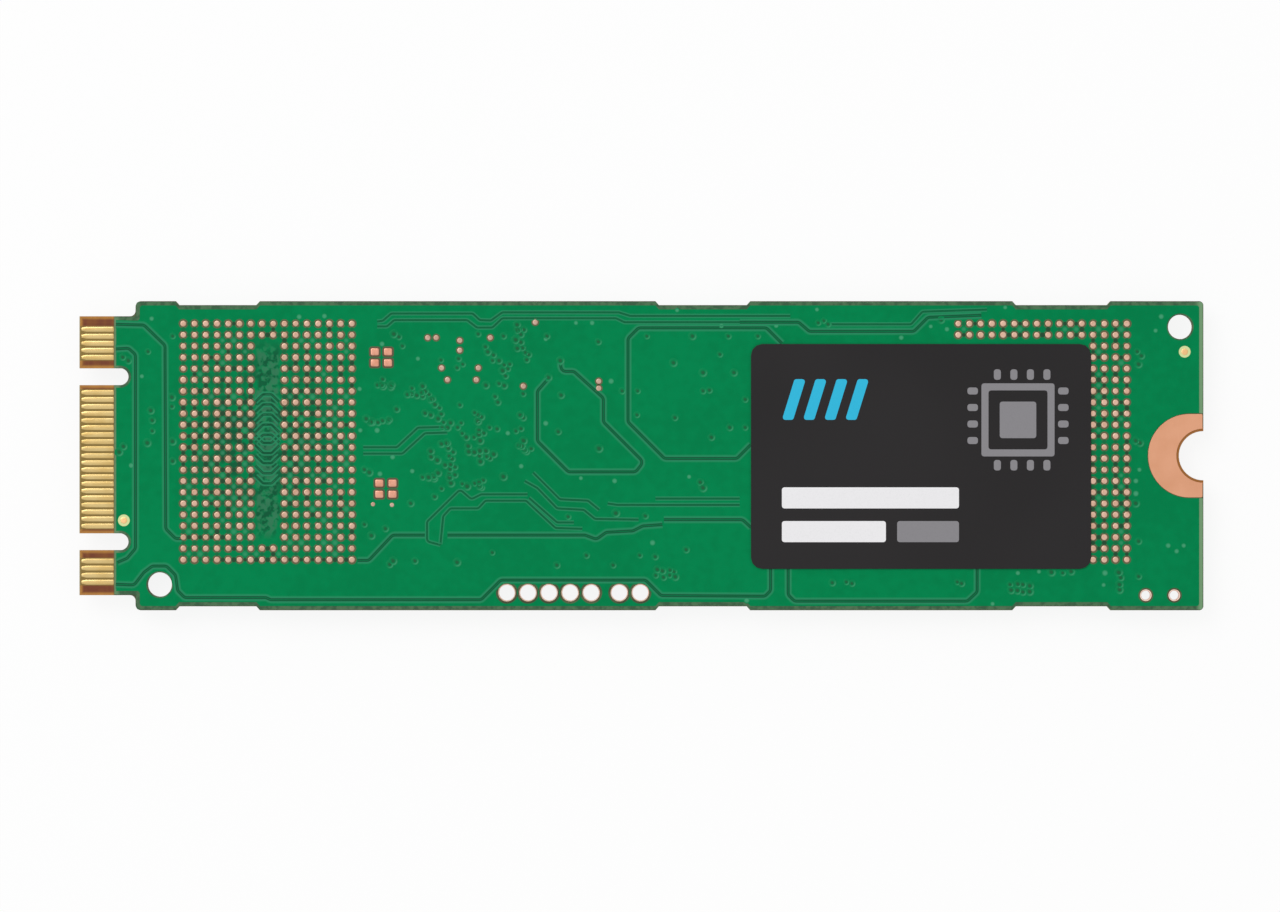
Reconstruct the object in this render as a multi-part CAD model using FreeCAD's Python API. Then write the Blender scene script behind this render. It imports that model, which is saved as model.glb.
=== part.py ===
import FreeCAD
import Part
import math
import os
from collections import namedtuple

# A gumstick solid state drive: a slim card, 80 by 22 mm, lying with its label side up. Millimetres.
# X runs from the edge connector to the screw notch, Y across the card and Z up.
# The origin is below the middle of the card, on the surface that the two flash packages rest on.

# Card edge connector: pins are numbered across the tongue, even ones above and odd ones below
PIN_COUNT = 75
PIN_PITCH = 0.5
FINGER_WIDTH = 0.35
FINGER_LENGTH = 2.3
FINGER_TIP_GAP = 0.03
FINGER_TIP_LENGTH = 0.35
FINGER_TIP_WIDTH = 0.2
FIRST_UPPER_PIN = 2
FIRST_LOWER_PIN = 1
KEYED_PINS = ((12, 19), (59, 66))
KEY_WIDTH = 1.2
KEY_DEPTH = 3.5
TONGUE_LENGTH = 4.0
TONGUE_SIDE_MARGIN = 0.675
BEVEL_RUN = 0.12
BEVEL_DEPTH = 0.15

# Card
CARD_LENGTH = 80.0
CARD_THICKNESS = 0.8
COPPER = 0.035
SHOULDER_STEP = 1.075
SHOULDER_RADIUS = 0.4
LARGEST_SHARE_OF_STEP = 0.45
END_CORNER_RADIUS = 0.3
RECESS_DEPTH = 0.28
RECESS_SLOPE = 0.25
FIRST_RECESS = (6.85, 12.85)
MIDDLE_RECESS = (41.0, 47.75)
LAST_RECESS_FROM_END = (6.6, 13.6)

# Screw notch at the far end, with a copper land on both faces
NOTCH_RADIUS = 1.75
SCREW_LAND_RADIUS = 2.97
SCREW_LAND_INSET = 0.96

# Holes through the card
TOOLING_HOLE_RADIUS = 0.87
TOOLING_HOLE_FROM_CONNECTOR = 5.72
TOOLING_HOLE_FROM_SCREW_END = 1.65
TOOLING_HOLE_FROM_EDGE = 1.83
HEADER_HOLE_RADIUS = 0.56
HEADER_START = 30.43
HEADER_PITCH = 1.5
HEADER_GROUP_COUNTS = (5, 2)
HEADER_GROUP_GAP = 2.0
HEADER_FROM_EDGE = 1.25
SERVICE_HOLE_RADIUS = 0.33
SERVICE_HOLE_FROM_SCREW_END = 4.1
SERVICE_HOLE_PITCH = 2.03
SERVICE_HOLE_COUNT = 2
SERVICE_HOLE_FROM_EDGE = 1.07
PLATING = 0.1

# Flash packages, and the empty sites for two more on the label side
FLASH_LENGTH = 14.0
FLASH_WIDTH = 18.0
FLASH_BODY = 1.1
FLASH_FROM_CONNECTOR = 13.4
FLASH_FROM_SCREW_END = 11.45
FLASH_OFFSET_Y = 1.0
FLASH_BALL_PITCH = 0.8
FLASH_COLUMNS = 16
FLASH_ROWS = 22
FLASH_WINDOW_COLUMNS = 2
FLASH_FULL_ROWS = 2
SITE_LAND_WIDTH = 0.36

# Other lands on the label side: test points and the pads of unfitted capacitors, from the connector end
TEST_LAND_RADIUS = 0.2
TEST_LANDS = (
    (24.8, 8.4), (25.4, 8.4), (27.08, 8.2), (27.08, 7.5), (25.78, 6.25),
    (26.2, 5.4), (28.4, 6.25), (28.25, 5.4), (29.25, 8.4), (32.45, 9.5),
    (31.6, 4.95), (36.97, 5.3), (36.97, 4.8), (20.9, -3.45), (22.25, -3.5),
)
SPARE_PAD_LENGTH = 0.62
SPARE_PAD_WIDTH = 0.55
SPARE_PAD_PITCH = (0.94, 0.79)
SPARE_PAD_GROUPS = ((21.5, 7.0), (21.82, -2.35))
FIDUCIAL_RADIUS = 0.24
FIDUCIAL_FROM_CONNECTOR = (3.17, -4.6)
FIDUCIAL_FROM_SCREW_END = (1.33, 7.4)

# Label
LABEL_LENGTH = 24.2
LABEL_WIDTH = 16.0
LABEL_FILM = 0.1
LABEL_CORNER_RADIUS = 0.8
LABEL_FROM_SCREW_END = 8.0
LABEL_OFFSET_Y = -0.05

# Other chips on the component side
BALL_HEIGHT = 0.25
BALL_RADIUS = 0.2
CHIP_GAP = 2.2
CONTROLLER_SIDE = 12.0
CONTROLLER_BODY = 0.75
CONTROLLER_BALL_COUNT = 17
CACHE_LENGTH = 11.0
CACHE_WIDTH = 11.5
CACHE_BODY = 0.65
CACHE_COLUMNS = 15
CACHE_ROWS = 16
FINE_BALL_PITCH = 0.65
POWER_CHIP_SIDE = 4.0
POWER_CHIP_BODY = 0.75
LOAD_SWITCH_SIDE = 1.6
LOAD_SWITCH_BODY = 0.55
POWER_ROW_GAP = 0.6

# Power inductors, clock crystal and small two-ended parts
INDUCTOR_LENGTH = 2.5
INDUCTOR_WIDTH = 2.0
INDUCTOR_BODY = 0.95
INDUCTOR_CHAMFER = 0.3
INDUCTOR_COUNT = 3
CRYSTAL_LENGTH = 2.5
CRYSTAL_WIDTH = 2.0
CRYSTAL_BASE = 0.35
CRYSTAL_LID = 0.2
CRYSTAL_LID_MARGIN = 0.15
TERMINAL_STEP = 0.03
SMALL_LENGTH = 1.0
SMALL_WIDTH = 0.5
SMALL_CAPACITOR_BODY = 0.5
RESISTOR_BODY = 0.35
SMALL_TERMINAL = 0.25
BULK_LENGTH = 1.6
BULK_WIDTH = 0.8
BULK_BODY = 0.8
BULK_TERMINAL = 0.35
SMALL_PART_GAP = 0.45
COUPLING_FROM_CONNECTOR = 4.8
COUPLING_PITCH = 0.9
COUPLING_COUNT = 4
CONTROLLER_CAPACITOR_COUNT = 5
CONTROLLER_RESISTOR_COUNT = 5
CACHE_CAPACITOR_COUNT = 4

# Flat sides of the many small round pieces, which keep the card light
RING_SIDES = 12
DOT_SIDES = 6

# What follows from the sizes above
TONGUE_WIDTH = (PIN_COUNT - 1) * PIN_PITCH / 2 + 2 * TONGUE_SIDE_MARGIN
CARD_WIDTH = TONGUE_WIDTH + 2 * SHOULDER_STEP
CARD_UNDER = FLASH_BODY + BALL_HEIGHT
CARD_TOP = CARD_UNDER + CARD_THICKNESS
CONNECTOR_END = -CARD_LENGTH / 2
SCREW_END = CARD_LENGTH / 2
UPPER_EDGE = CARD_WIDTH / 2
LOWER_EDGE = -CARD_WIDTH / 2
CUTTER_OVERRUN = 1.0
TINY = 1e-6

# A package or other block on the component side: its middle, its size and its grid of solder balls
Chip = namedtuple("Chip", "x y length width body columns rows pitch")


def vector(x, y, z=0.0):
    return FreeCAD.Vector(x, y, z)


def corner_points(before, corner, after, z):
    """The corner itself, or the start, middle and end of the arc that rounds it."""
    point = vector(corner[0], corner[1], z)
    radius = corner[2]
    if radius == 0:
        return [point]
    towards_before = (vector(before[0], before[1], z) - point).normalize()
    towards_after = (vector(after[0], after[1], z) - point).normalize()
    half_angle = towards_before.getAngle(towards_after) / 2
    reach = radius / math.tan(half_angle)
    inwards = (towards_before + towards_after).normalize()
    middle = point + inwards * (radius / math.sin(half_angle) - radius)
    return [point + towards_before * reach, middle, point + towards_after * reach]


def rounded_plate(corners, z, thickness):
    """A flat plate whose outline runs through (x, y, radius) corners, counter-clockwise."""
    count = len(corners)
    spans = [
        corner_points(corners[i - 1], corners[i], corners[(i + 1) % count], z) for i in range(count)
    ]
    edges = []
    for i, span in enumerate(spans):
        if len(span) == 3:
            edges.append(Part.Arc(*span).toShape())
        following = spans[(i + 1) % count]
        if span[-1].distanceToPoint(following[0]) > TINY:
            edges.append(Part.makeLine(span[-1], following[0]))
    return Part.Face(Part.Wire(edges)).extrude(vector(0, 0, thickness))


def block(x, y, length, width, z, height):
    """A box centred on x and y that stands on z."""
    return Part.makeBox(length, width, height, vector(x - length / 2, y - width / 2, z))


def cylinder(x, y, radius, z, height):
    return Part.makeCylinder(radius, height, vector(x, y, z))


def prism(x, y, radius, sides, z, height):
    """A small round piece or hole, drawn with flat sides."""
    turns = [math.tau * side / sides for side in range(sides)]
    points = [vector(x + radius * math.cos(turn), y + radius * math.sin(turn), z) for turn in turns]
    return Part.Face(Part.makePolygon(points + points[:1])).extrude(vector(0, 0, height))


def through_card(x, y, radius):
    """A round cutter that passes through the card."""
    return cylinder(x, y, radius, CARD_UNDER - CUTTER_OVERRUN, CARD_THICKNESS + 2 * CUTTER_OVERRUN)


def plated_hole(x, y, radius, z, height):
    return prism(x, y, radius, RING_SIDES, z, height)


# Places that several pieces share


def pin_y(pin):
    return ((PIN_COUNT + 1) / 2 - pin) * PIN_PITCH / 2


def tooling_holes():
    return [
        (CONNECTOR_END + TOOLING_HOLE_FROM_CONNECTOR, LOWER_EDGE + TOOLING_HOLE_FROM_EDGE),
        (SCREW_END - TOOLING_HOLE_FROM_SCREW_END, UPPER_EDGE - TOOLING_HOLE_FROM_EDGE),
    ]


def header_holes():
    """The plated holes of the service header, in two groups along the lower edge."""
    places = []
    x = CONNECTOR_END + HEADER_START
    for count in HEADER_GROUP_COUNTS:
        places += [(x + i * HEADER_PITCH, LOWER_EDGE + HEADER_FROM_EDGE) for i in range(count)]
        x = places[-1][0] + HEADER_GROUP_GAP
    return places


def service_holes():
    """Two small plated holes near the lower corner of the screw end."""
    first = SCREW_END - SERVICE_HOLE_FROM_SCREW_END
    y = LOWER_EDGE + SERVICE_HOLE_FROM_EDGE
    return [(first + i * SERVICE_HOLE_PITCH, y) for i in range(SERVICE_HOLE_COUNT)]


def flash_at(x):
    return Chip(x, FLASH_OFFSET_Y, FLASH_LENGTH, FLASH_WIDTH, FLASH_BODY, FLASH_COLUMNS, FLASH_ROWS,
                FLASH_BALL_PITCH)


FLASH_A = flash_at(CONNECTOR_END + FLASH_FROM_CONNECTOR)
FLASH_B = flash_at(SCREW_END - FLASH_FROM_SCREW_END)
CONTROLLER = Chip(FLASH_A.x + FLASH_LENGTH / 2 + CHIP_GAP + CONTROLLER_SIDE / 2, FLASH_OFFSET_Y,
                  CONTROLLER_SIDE, CONTROLLER_SIDE, CONTROLLER_BODY, CONTROLLER_BALL_COUNT,
                  CONTROLLER_BALL_COUNT, FINE_BALL_PITCH)
CACHE = Chip(FLASH_B.x - FLASH_LENGTH / 2 - CHIP_GAP - CACHE_LENGTH / 2, FLASH_OFFSET_Y,
             CACHE_LENGTH, CACHE_WIDTH, CACHE_BODY, CACHE_COLUMNS, CACHE_ROWS, FINE_BALL_PITCH)
BALL_GRID_CHIPS = (FLASH_A, FLASH_B, CONTROLLER, CACHE)

# The power parts stand in one column, halfway between the controller and the cache memory
POWER_X = (CONTROLLER.x + CONTROLLER_SIDE / 2 + CACHE.x - CACHE_LENGTH / 2) / 2
POWER_CHIP_Y = FLASH_OFFSET_Y + FLASH_WIDTH / 2 - POWER_CHIP_SIDE / 2 - POWER_ROW_GAP
FIRST_INDUCTOR_Y = POWER_CHIP_Y - POWER_CHIP_SIDE / 2 - POWER_ROW_GAP - INDUCTOR_WIDTH / 2
INDUCTOR_STEP = INDUCTOR_WIDTH + POWER_ROW_GAP
LAST_INDUCTOR_Y = FIRST_INDUCTOR_Y - (INDUCTOR_COUNT - 1) * INDUCTOR_STEP
LOAD_SWITCH_Y = LAST_INDUCTOR_Y - INDUCTOR_WIDTH / 2 - POWER_ROW_GAP - LOAD_SWITCH_SIDE / 2


def row_along(chip, side, count):
    """Places for a row of small parts beside the upper (1) or lower (-1) side of a chip."""
    y = chip.y + side * (chip.width / 2 + SMALL_PART_GAP + SMALL_LENGTH / 2)
    step = SMALL_WIDTH + SMALL_PART_GAP
    first = chip.x - (count - 1) * step / 2
    return [(first + i * step, y) for i in range(count)]


# The card and its copper


def recess_cutters():
    """Shallow routed recesses with sloping ends, at the same places on both long edges."""
    spans = [(CONNECTOR_END + start, CONNECTOR_END + end) for start, end in (FIRST_RECESS, MIDDLE_RECESS)]
    near, far = LAST_RECESS_FROM_END
    spans.append((SCREW_END - far, SCREW_END - near))
    cutters = []
    for start, end in spans:
        floor = UPPER_EDGE - RECESS_DEPTH
        mouth = UPPER_EDGE + CUTTER_OVERRUN
        corners = [
            (start + RECESS_SLOPE, floor, 0), (end - RECESS_SLOPE, floor, 0), (end, UPPER_EDGE, 0),
            (end, mouth, 0), (start, mouth, 0), (start, UPPER_EDGE, 0),
        ]
        cutter = rounded_plate(corners, CARD_UNDER - CUTTER_OVERRUN, CARD_THICKNESS + 2 * CUTTER_OVERRUN)
        cutters += [cutter, cutter.mirror(vector(0, 0, 0), vector(0, 1, 0))]
    return cutters


def key_cutters():
    """The two round-ended key slots of the tongue, each halfway along its missing pins."""
    cutters = []
    height = CARD_THICKNESS + 2 * CUTTER_OVERRUN
    straight = KEY_DEPTH - KEY_WIDTH / 2 + CUTTER_OVERRUN
    for first, last in KEYED_PINS:
        y = pin_y((first + last) / 2)
        x = CONNECTOR_END - CUTTER_OVERRUN + straight / 2
        cutters.append(block(x, y, straight, KEY_WIDTH, CARD_UNDER - CUTTER_OVERRUN, height))
        cutters.append(through_card(CONNECTOR_END + KEY_DEPTH - KEY_WIDTH / 2, y, KEY_WIDTH / 2))
    return cutters


def bevel_cutters():
    """Wedges that take off the two leading edges of the tongue."""
    cutters = []
    for face_z, inwards in ((CARD_TOP, -1), (CARD_UNDER, 1)):
        y = -TONGUE_WIDTH / 2 - CUTTER_OVERRUN
        profile = Part.makePolygon([
            vector(CONNECTOR_END, y, face_z),
            vector(CONNECTOR_END + BEVEL_RUN, y, face_z),
            vector(CONNECTOR_END, y, face_z + inwards * BEVEL_DEPTH),
            vector(CONNECTOR_END, y, face_z),
        ])
        cutters.append(Part.Face(profile).extrude(vector(0, TONGUE_WIDTH + 2 * CUTTER_OVERRUN, 0)))
    return cutters


def circuit_board():
    shoulder_x = CONNECTOR_END + TONGUE_LENGTH
    shoulder_radius = min(SHOULDER_RADIUS, LARGEST_SHARE_OF_STEP * SHOULDER_STEP)
    half_tongue = TONGUE_WIDTH / 2
    board = rounded_plate([
        (CONNECTOR_END, -half_tongue, 0),
        (shoulder_x, -half_tongue, shoulder_radius),
        (shoulder_x, LOWER_EDGE, shoulder_radius),
        (SCREW_END, LOWER_EDGE, END_CORNER_RADIUS),
        (SCREW_END, UPPER_EDGE, END_CORNER_RADIUS),
        (shoulder_x, UPPER_EDGE, shoulder_radius),
        (shoulder_x, half_tongue, shoulder_radius),
        (CONNECTOR_END, half_tongue, 0),
    ], CARD_UNDER, CARD_THICKNESS)
    cutters = recess_cutters() + key_cutters() + bevel_cutters()
    cutters.append(through_card(SCREW_END, 0, NOTCH_RADIUS))
    cutters += [through_card(x, y, TOOLING_HOLE_RADIUS) for x, y in tooling_holes()]
    plated = [(x, y, HEADER_HOLE_RADIUS) for x, y in header_holes()]
    plated += [(x, y, SERVICE_HOLE_RADIUS) for x, y in service_holes()]
    cutters += [plated_hole(x, y, radius + PLATING, CARD_UNDER, CARD_THICKNESS) for x, y, radius in plated]
    return board.cut(cutters)


def contact_fingers(first_pin, z):
    """Gold fingers with tapered tips, on every second pin that the key slots leave."""
    tip = CONNECTOR_END + BEVEL_RUN + FINGER_TIP_GAP
    shoulder = tip + FINGER_TIP_LENGTH
    end = tip + FINGER_LENGTH
    pins = [
        pin for pin in range(first_pin, PIN_COUNT + 1, 2)
        if not any(first <= pin <= last for first, last in KEYED_PINS)
    ]
    half_tip, half_width = FINGER_TIP_WIDTH / 2, FINGER_WIDTH / 2
    outline = [
        (tip, -half_tip), (shoulder, -half_width), (end, -half_width),
        (end, half_width), (shoulder, half_width), (tip, half_tip),
    ]
    return [rounded_plate([(x, pin_y(pin) + y, 0) for x, y in outline], z, COPPER) for pin in pins]


def screw_land(z):
    """The copper that the screw head bears on: a round-ended tab cut by the notch."""
    tip = SCREW_END - SCREW_LAND_INSET - SCREW_LAND_RADIUS
    land = rounded_plate([
        (tip, -SCREW_LAND_RADIUS, SCREW_LAND_RADIUS),
        (SCREW_END, -SCREW_LAND_RADIUS, 0),
        (SCREW_END, SCREW_LAND_RADIUS, 0),
        (tip, SCREW_LAND_RADIUS, SCREW_LAND_RADIUS),
    ], z, COPPER)
    return land.cut(through_card(SCREW_END, 0, NOTCH_RADIUS))


def plated_barrels(places, radius):
    """Copper sleeves that line plated holes and stand one copper thickness proud of both faces."""
    z = CARD_UNDER - COPPER
    height = CARD_THICKNESS + 2 * COPPER
    return [
        plated_hole(x, y, radius + PLATING, z, height).cut(plated_hole(x, y, radius, z, height))
        for x, y in places
    ]


def label_middle():
    return SCREW_END - LABEL_FROM_SCREW_END - LABEL_LENGTH / 2, LABEL_OFFSET_Y


def under_label(x, y):
    middle_x, middle_y = label_middle()
    return abs(x - middle_x) < LABEL_LENGTH / 2 and abs(y - middle_y) < LABEL_WIDTH / 2


def grid_places(chip):
    """The places of a grid of balls or lands, row by row."""
    first_x = chip.x - (chip.columns - 1) * chip.pitch / 2
    first_y = chip.y - (chip.rows - 1) * chip.pitch / 2
    return [
        (column, row, first_x + column * chip.pitch, first_y + row * chip.pitch)
        for row in range(chip.rows) for column in range(chip.columns)
    ]


def site_lands(chip):
    """Lands of an empty flash site: full rows at both ends, and a bare strip up the middle.

    Lands that the label hides are left out, and the small round lands are drawn square.
    """
    first_bare = (FLASH_COLUMNS - FLASH_WINDOW_COLUMNS) // 2
    bare_columns = range(first_bare, first_bare + FLASH_WINDOW_COLUMNS)
    bare_rows = range(FLASH_FULL_ROWS, FLASH_ROWS - FLASH_FULL_ROWS)
    return [
        block(x, y, SITE_LAND_WIDTH, SITE_LAND_WIDTH, CARD_TOP, COPPER)
        for column, row, x, y in grid_places(chip)
        if not (column in bare_columns and row in bare_rows) and not under_label(x, y)
    ]


def test_lands():
    return [
        prism(CONNECTOR_END + x, y, TEST_LAND_RADIUS, DOT_SIDES, CARD_TOP, COPPER) for x, y in TEST_LANDS
    ]


def spare_capacitor_pads():
    """Two pairs of unfitted capacitors, four pads to a group."""
    step_x, step_y = SPARE_PAD_PITCH
    return [
        block(CONNECTOR_END + x + side * step_x / 2, y + end * step_y / 2,
              SPARE_PAD_LENGTH, SPARE_PAD_WIDTH, CARD_TOP, COPPER)
        for x, y in SPARE_PAD_GROUPS for side in (-1, 1) for end in (-1, 1)
    ]


def fiducials():
    """Round gold marks that a placing machine aligns the card by, one near each end."""
    first_x, first_y = FIDUCIAL_FROM_CONNECTOR
    last_x, last_y = FIDUCIAL_FROM_SCREW_END
    return [
        prism(CONNECTOR_END + first_x, first_y, FIDUCIAL_RADIUS, RING_SIDES, CARD_TOP, COPPER),
        prism(SCREW_END - last_x, last_y, FIDUCIAL_RADIUS, RING_SIDES, CARD_TOP, COPPER),
    ]


def label():
    """The sticker lies on the lands, so it stands one copper thickness off the card."""
    x, y = label_middle()
    right, left = x + LABEL_LENGTH / 2, x - LABEL_LENGTH / 2
    upper, lower = y + LABEL_WIDTH / 2, y - LABEL_WIDTH / 2
    places = [(left, lower), (right, lower), (right, upper), (left, upper)]
    corners = [(*place, LABEL_CORNER_RADIUS) for place in places]
    return rounded_plate(corners, CARD_TOP + COPPER, LABEL_FILM)


# The component side, which hangs below the card


def package(chip):
    """A moulded ball grid package, held off the card by its solder balls."""
    return block(chip.x, chip.y, chip.length, chip.width, CARD_UNDER - BALL_HEIGHT - chip.body, chip.body)


def corner_balls():
    """The outermost solder ball at each corner of every package."""
    balls = []
    for chip in BALL_GRID_CHIPS:
        balls += [
            prism(x, y, BALL_RADIUS, DOT_SIDES, CARD_UNDER - BALL_HEIGHT, BALL_HEIGHT)
            for column, row, x, y in grid_places(chip)
            if column in (0, chip.columns - 1) and row in (0, chip.rows - 1)
        ]
    return balls


def flat_chip(x, y, side, body):
    """A leadless chip, soldered flat to the card."""
    return block(x, y, side, side, CARD_UNDER - body, body)


def inductor(x, y):
    """A power inductor: a block with cut corners and a terminal across each end."""
    far_x, far_y = INDUCTOR_LENGTH / 2, INDUCTOR_WIDTH / 2
    near_x, near_y = far_x - INDUCTOR_CHAMFER, far_y - INDUCTOR_CHAMFER
    outline = [
        (near_x, -far_y), (far_x, -near_y), (far_x, near_y), (near_x, far_y),
        (-near_x, far_y), (-far_x, near_y), (-far_x, -near_y), (-near_x, -far_y),
    ]
    z = CARD_UNDER - INDUCTOR_BODY
    body = rounded_plate([(x + dx, y + dy, 0) for dx, dy in outline], z, INDUCTOR_BODY - TERMINAL_STEP)
    terminals = [
        block(x + end * (far_x - INDUCTOR_CHAMFER / 2), y, INDUCTOR_CHAMFER, 2 * near_y,
              CARD_UNDER - TERMINAL_STEP, TERMINAL_STEP)
        for end in (-1, 1)
    ]
    return body.fuse(terminals)


def power_inductors():
    return [inductor(POWER_X, FIRST_INDUCTOR_Y - i * INDUCTOR_STEP) for i in range(INDUCTOR_COUNT)]


def clock_crystal():
    """A ceramic base with a smaller metal lid, beside the lower left corner of the controller."""
    x = CONTROLLER.x - CONTROLLER_SIDE / 2 + CRYSTAL_LENGTH / 2
    y = CONTROLLER.y - CONTROLLER_SIDE / 2 - CHIP_GAP - CRYSTAL_WIDTH / 2
    base_z = CARD_UNDER - CRYSTAL_BASE
    base = block(x, y, CRYSTAL_LENGTH, CRYSTAL_WIDTH, base_z, CRYSTAL_BASE)
    lid_length = CRYSTAL_LENGTH - 2 * CRYSTAL_LID_MARGIN
    lid_width = CRYSTAL_WIDTH - 2 * CRYSTAL_LID_MARGIN
    return base.fuse(block(x, y, lid_length, lid_width, base_z - CRYSTAL_LID, CRYSTAL_LID))


def two_ended_part(x, y, length, width, body, terminal, along_x):
    """A chip capacitor or resistor: a body between two slightly larger metal ends."""
    pieces = []
    for offset, run, step in (
        (0, length - 2 * terminal, TERMINAL_STEP),
        ((length - terminal) / 2, terminal, 0),
        ((terminal - length) / 2, terminal, 0),
    ):
        across = width - 2 * step
        height = body - step
        place, size = ((x + offset, y), (run, across)) if along_x else ((x, y + offset), (across, run))
        pieces.append(block(*place, *size, CARD_UNDER - height, height))
    return pieces[0].fuse(pieces[1:])


def small_parts(places, body):
    return [
        two_ended_part(x, y, SMALL_LENGTH, SMALL_WIDTH, body, SMALL_TERMINAL, False) for x, y in places
    ]


def coupling_capacitors():
    """The series capacitors of the two signal pairs, just behind the tongue."""
    x = CONNECTOR_END + COUPLING_FROM_CONNECTOR
    first_y = (COUPLING_COUNT - 1) * COUPLING_PITCH / 2
    return [
        two_ended_part(x, first_y - i * COUPLING_PITCH, SMALL_LENGTH, SMALL_WIDTH, SMALL_CAPACITOR_BODY,
                       SMALL_TERMINAL, True)
        for i in range(COUPLING_COUNT)
    ]


def bulk_capacitors():
    """Larger capacitors on both sides of each inductor."""
    reach = INDUCTOR_LENGTH / 2 + SMALL_PART_GAP + BULK_WIDTH / 2
    return [
        two_ended_part(POWER_X + side * reach, FIRST_INDUCTOR_Y - i * INDUCTOR_STEP, BULK_LENGTH, BULK_WIDTH,
                       BULK_BODY, BULK_TERMINAL, False)
        for i in range(INDUCTOR_COUNT) for side in (-1, 1)
    ]


def decoupling_capacitors():
    """Small capacitors above the controller and on both sides of the cache memory."""
    places = row_along(CONTROLLER, 1, CONTROLLER_CAPACITOR_COUNT)
    for side in (1, -1):
        places += row_along(CACHE, side, CACHE_CAPACITOR_COUNT)
    return small_parts(places, SMALL_CAPACITOR_BODY)


def resistors():
    return small_parts(row_along(CONTROLLER, -1, CONTROLLER_RESISTOR_COUNT), RESISTOR_BODY)


NODES = {
    "circuit_board": [circuit_board()],
    "contact_fingers_upper": contact_fingers(FIRST_UPPER_PIN, CARD_TOP),
    "contact_fingers_lower": contact_fingers(FIRST_LOWER_PIN, CARD_UNDER - COPPER),
    "screw_land_upper": [screw_land(CARD_TOP)],
    "screw_land_lower": [screw_land(CARD_UNDER - COPPER)],
    "header_hole_barrels": plated_barrels(header_holes(), HEADER_HOLE_RADIUS),
    "service_hole_barrels": plated_barrels(service_holes(), SERVICE_HOLE_RADIUS),
    "site_lands_connector_end": site_lands(FLASH_A),
    "site_lands_screw_end": site_lands(FLASH_B),
    "test_lands": test_lands(),
    "spare_capacitor_pads": spare_capacitor_pads(),
    "fiducials": fiducials(),
    "label": [label()],
    "flash_package_connector_end": [package(FLASH_A)],
    "flash_package_screw_end": [package(FLASH_B)],
    "controller_package": [package(CONTROLLER)],
    "cache_memory_package": [package(CACHE)],
    "corner_solder_balls": corner_balls(),
    "power_chip": [flat_chip(POWER_X, POWER_CHIP_Y, POWER_CHIP_SIDE, POWER_CHIP_BODY)],
    "load_switch": [flat_chip(POWER_X, LOAD_SWITCH_Y, LOAD_SWITCH_SIDE, LOAD_SWITCH_BODY)],
    "power_inductors": power_inductors(),
    "clock_crystal": [clock_crystal()],
    "coupling_capacitors": coupling_capacitors(),
    "bulk_capacitors": bulk_capacitors(),
    "decoupling_capacitors": decoupling_capacitors(),
    "resistors": resistors(),
}

os.makedirs("parts", exist_ok=True)
for name, solids in NODES.items():
    shape = solids[0] if len(solids) == 1 else Part.makeCompound(solids)
    shape.exportStep(f"parts/{name}.step")
    print(f"{name}: {len(solids)} solids, {shape.Volume:.3f} mm3")
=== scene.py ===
# %% [markdown]
# # A gumstick solid state drive, dressed in Blender
# The drive is a slim green circuit card. Gold fingers at one end plug into a socket, and a screw in the
# notch at the other end holds it down. The CAD model is the frame: it says where each piece sits and how
# large it is. This lesson dresses that frame with what makes a real card look real, such as a skin of
# green mask, grooves over the copper below it, soft-edged lands and fingers, a printed label, and
# packages and small parts underneath.

# %% Load the frame
import math
import random

import bmesh
import bpy
from mathutils import Matrix, Vector


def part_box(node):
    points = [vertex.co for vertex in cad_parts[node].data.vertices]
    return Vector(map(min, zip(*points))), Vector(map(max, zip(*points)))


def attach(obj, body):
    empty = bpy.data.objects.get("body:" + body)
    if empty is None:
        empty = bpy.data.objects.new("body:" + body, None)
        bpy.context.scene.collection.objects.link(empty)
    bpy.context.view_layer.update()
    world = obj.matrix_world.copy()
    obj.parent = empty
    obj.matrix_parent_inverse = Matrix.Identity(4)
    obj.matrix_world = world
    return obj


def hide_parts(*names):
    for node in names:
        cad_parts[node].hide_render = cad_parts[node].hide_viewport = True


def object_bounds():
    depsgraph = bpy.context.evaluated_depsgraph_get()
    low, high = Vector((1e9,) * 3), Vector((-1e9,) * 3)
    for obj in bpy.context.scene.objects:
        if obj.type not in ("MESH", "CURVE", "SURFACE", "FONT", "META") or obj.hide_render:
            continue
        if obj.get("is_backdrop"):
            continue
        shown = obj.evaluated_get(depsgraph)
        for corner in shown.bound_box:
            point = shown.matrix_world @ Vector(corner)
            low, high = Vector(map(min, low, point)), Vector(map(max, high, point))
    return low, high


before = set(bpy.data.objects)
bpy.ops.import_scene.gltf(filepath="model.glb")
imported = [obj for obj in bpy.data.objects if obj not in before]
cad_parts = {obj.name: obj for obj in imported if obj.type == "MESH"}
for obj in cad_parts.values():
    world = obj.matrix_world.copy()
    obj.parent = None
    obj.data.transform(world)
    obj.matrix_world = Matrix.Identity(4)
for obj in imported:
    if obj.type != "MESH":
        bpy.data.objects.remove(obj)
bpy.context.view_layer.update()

# %% [markdown]
# A card designer measures from the connector edge and from the middle line, in millimetres. Blender
# works in metres round the origin. One matrix turns the first into the second, so every size below can
# be read off a ruler. The heights come from the frame: the face is the label side of the bare board, the
# back is its component side.

# %% Card millimetres
MM = 0.001
CARD_TO_FRAME = Matrix.Translation((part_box("circuit_board")[0][0], 0, 0)) @ Matrix.Scale(MM, 4)


def card_box(node):
    """The lowest and highest corner of a CAD node, in card millimetres."""
    return [CARD_TO_FRAME.inverted() @ Vector(corner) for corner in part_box(node)]


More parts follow.
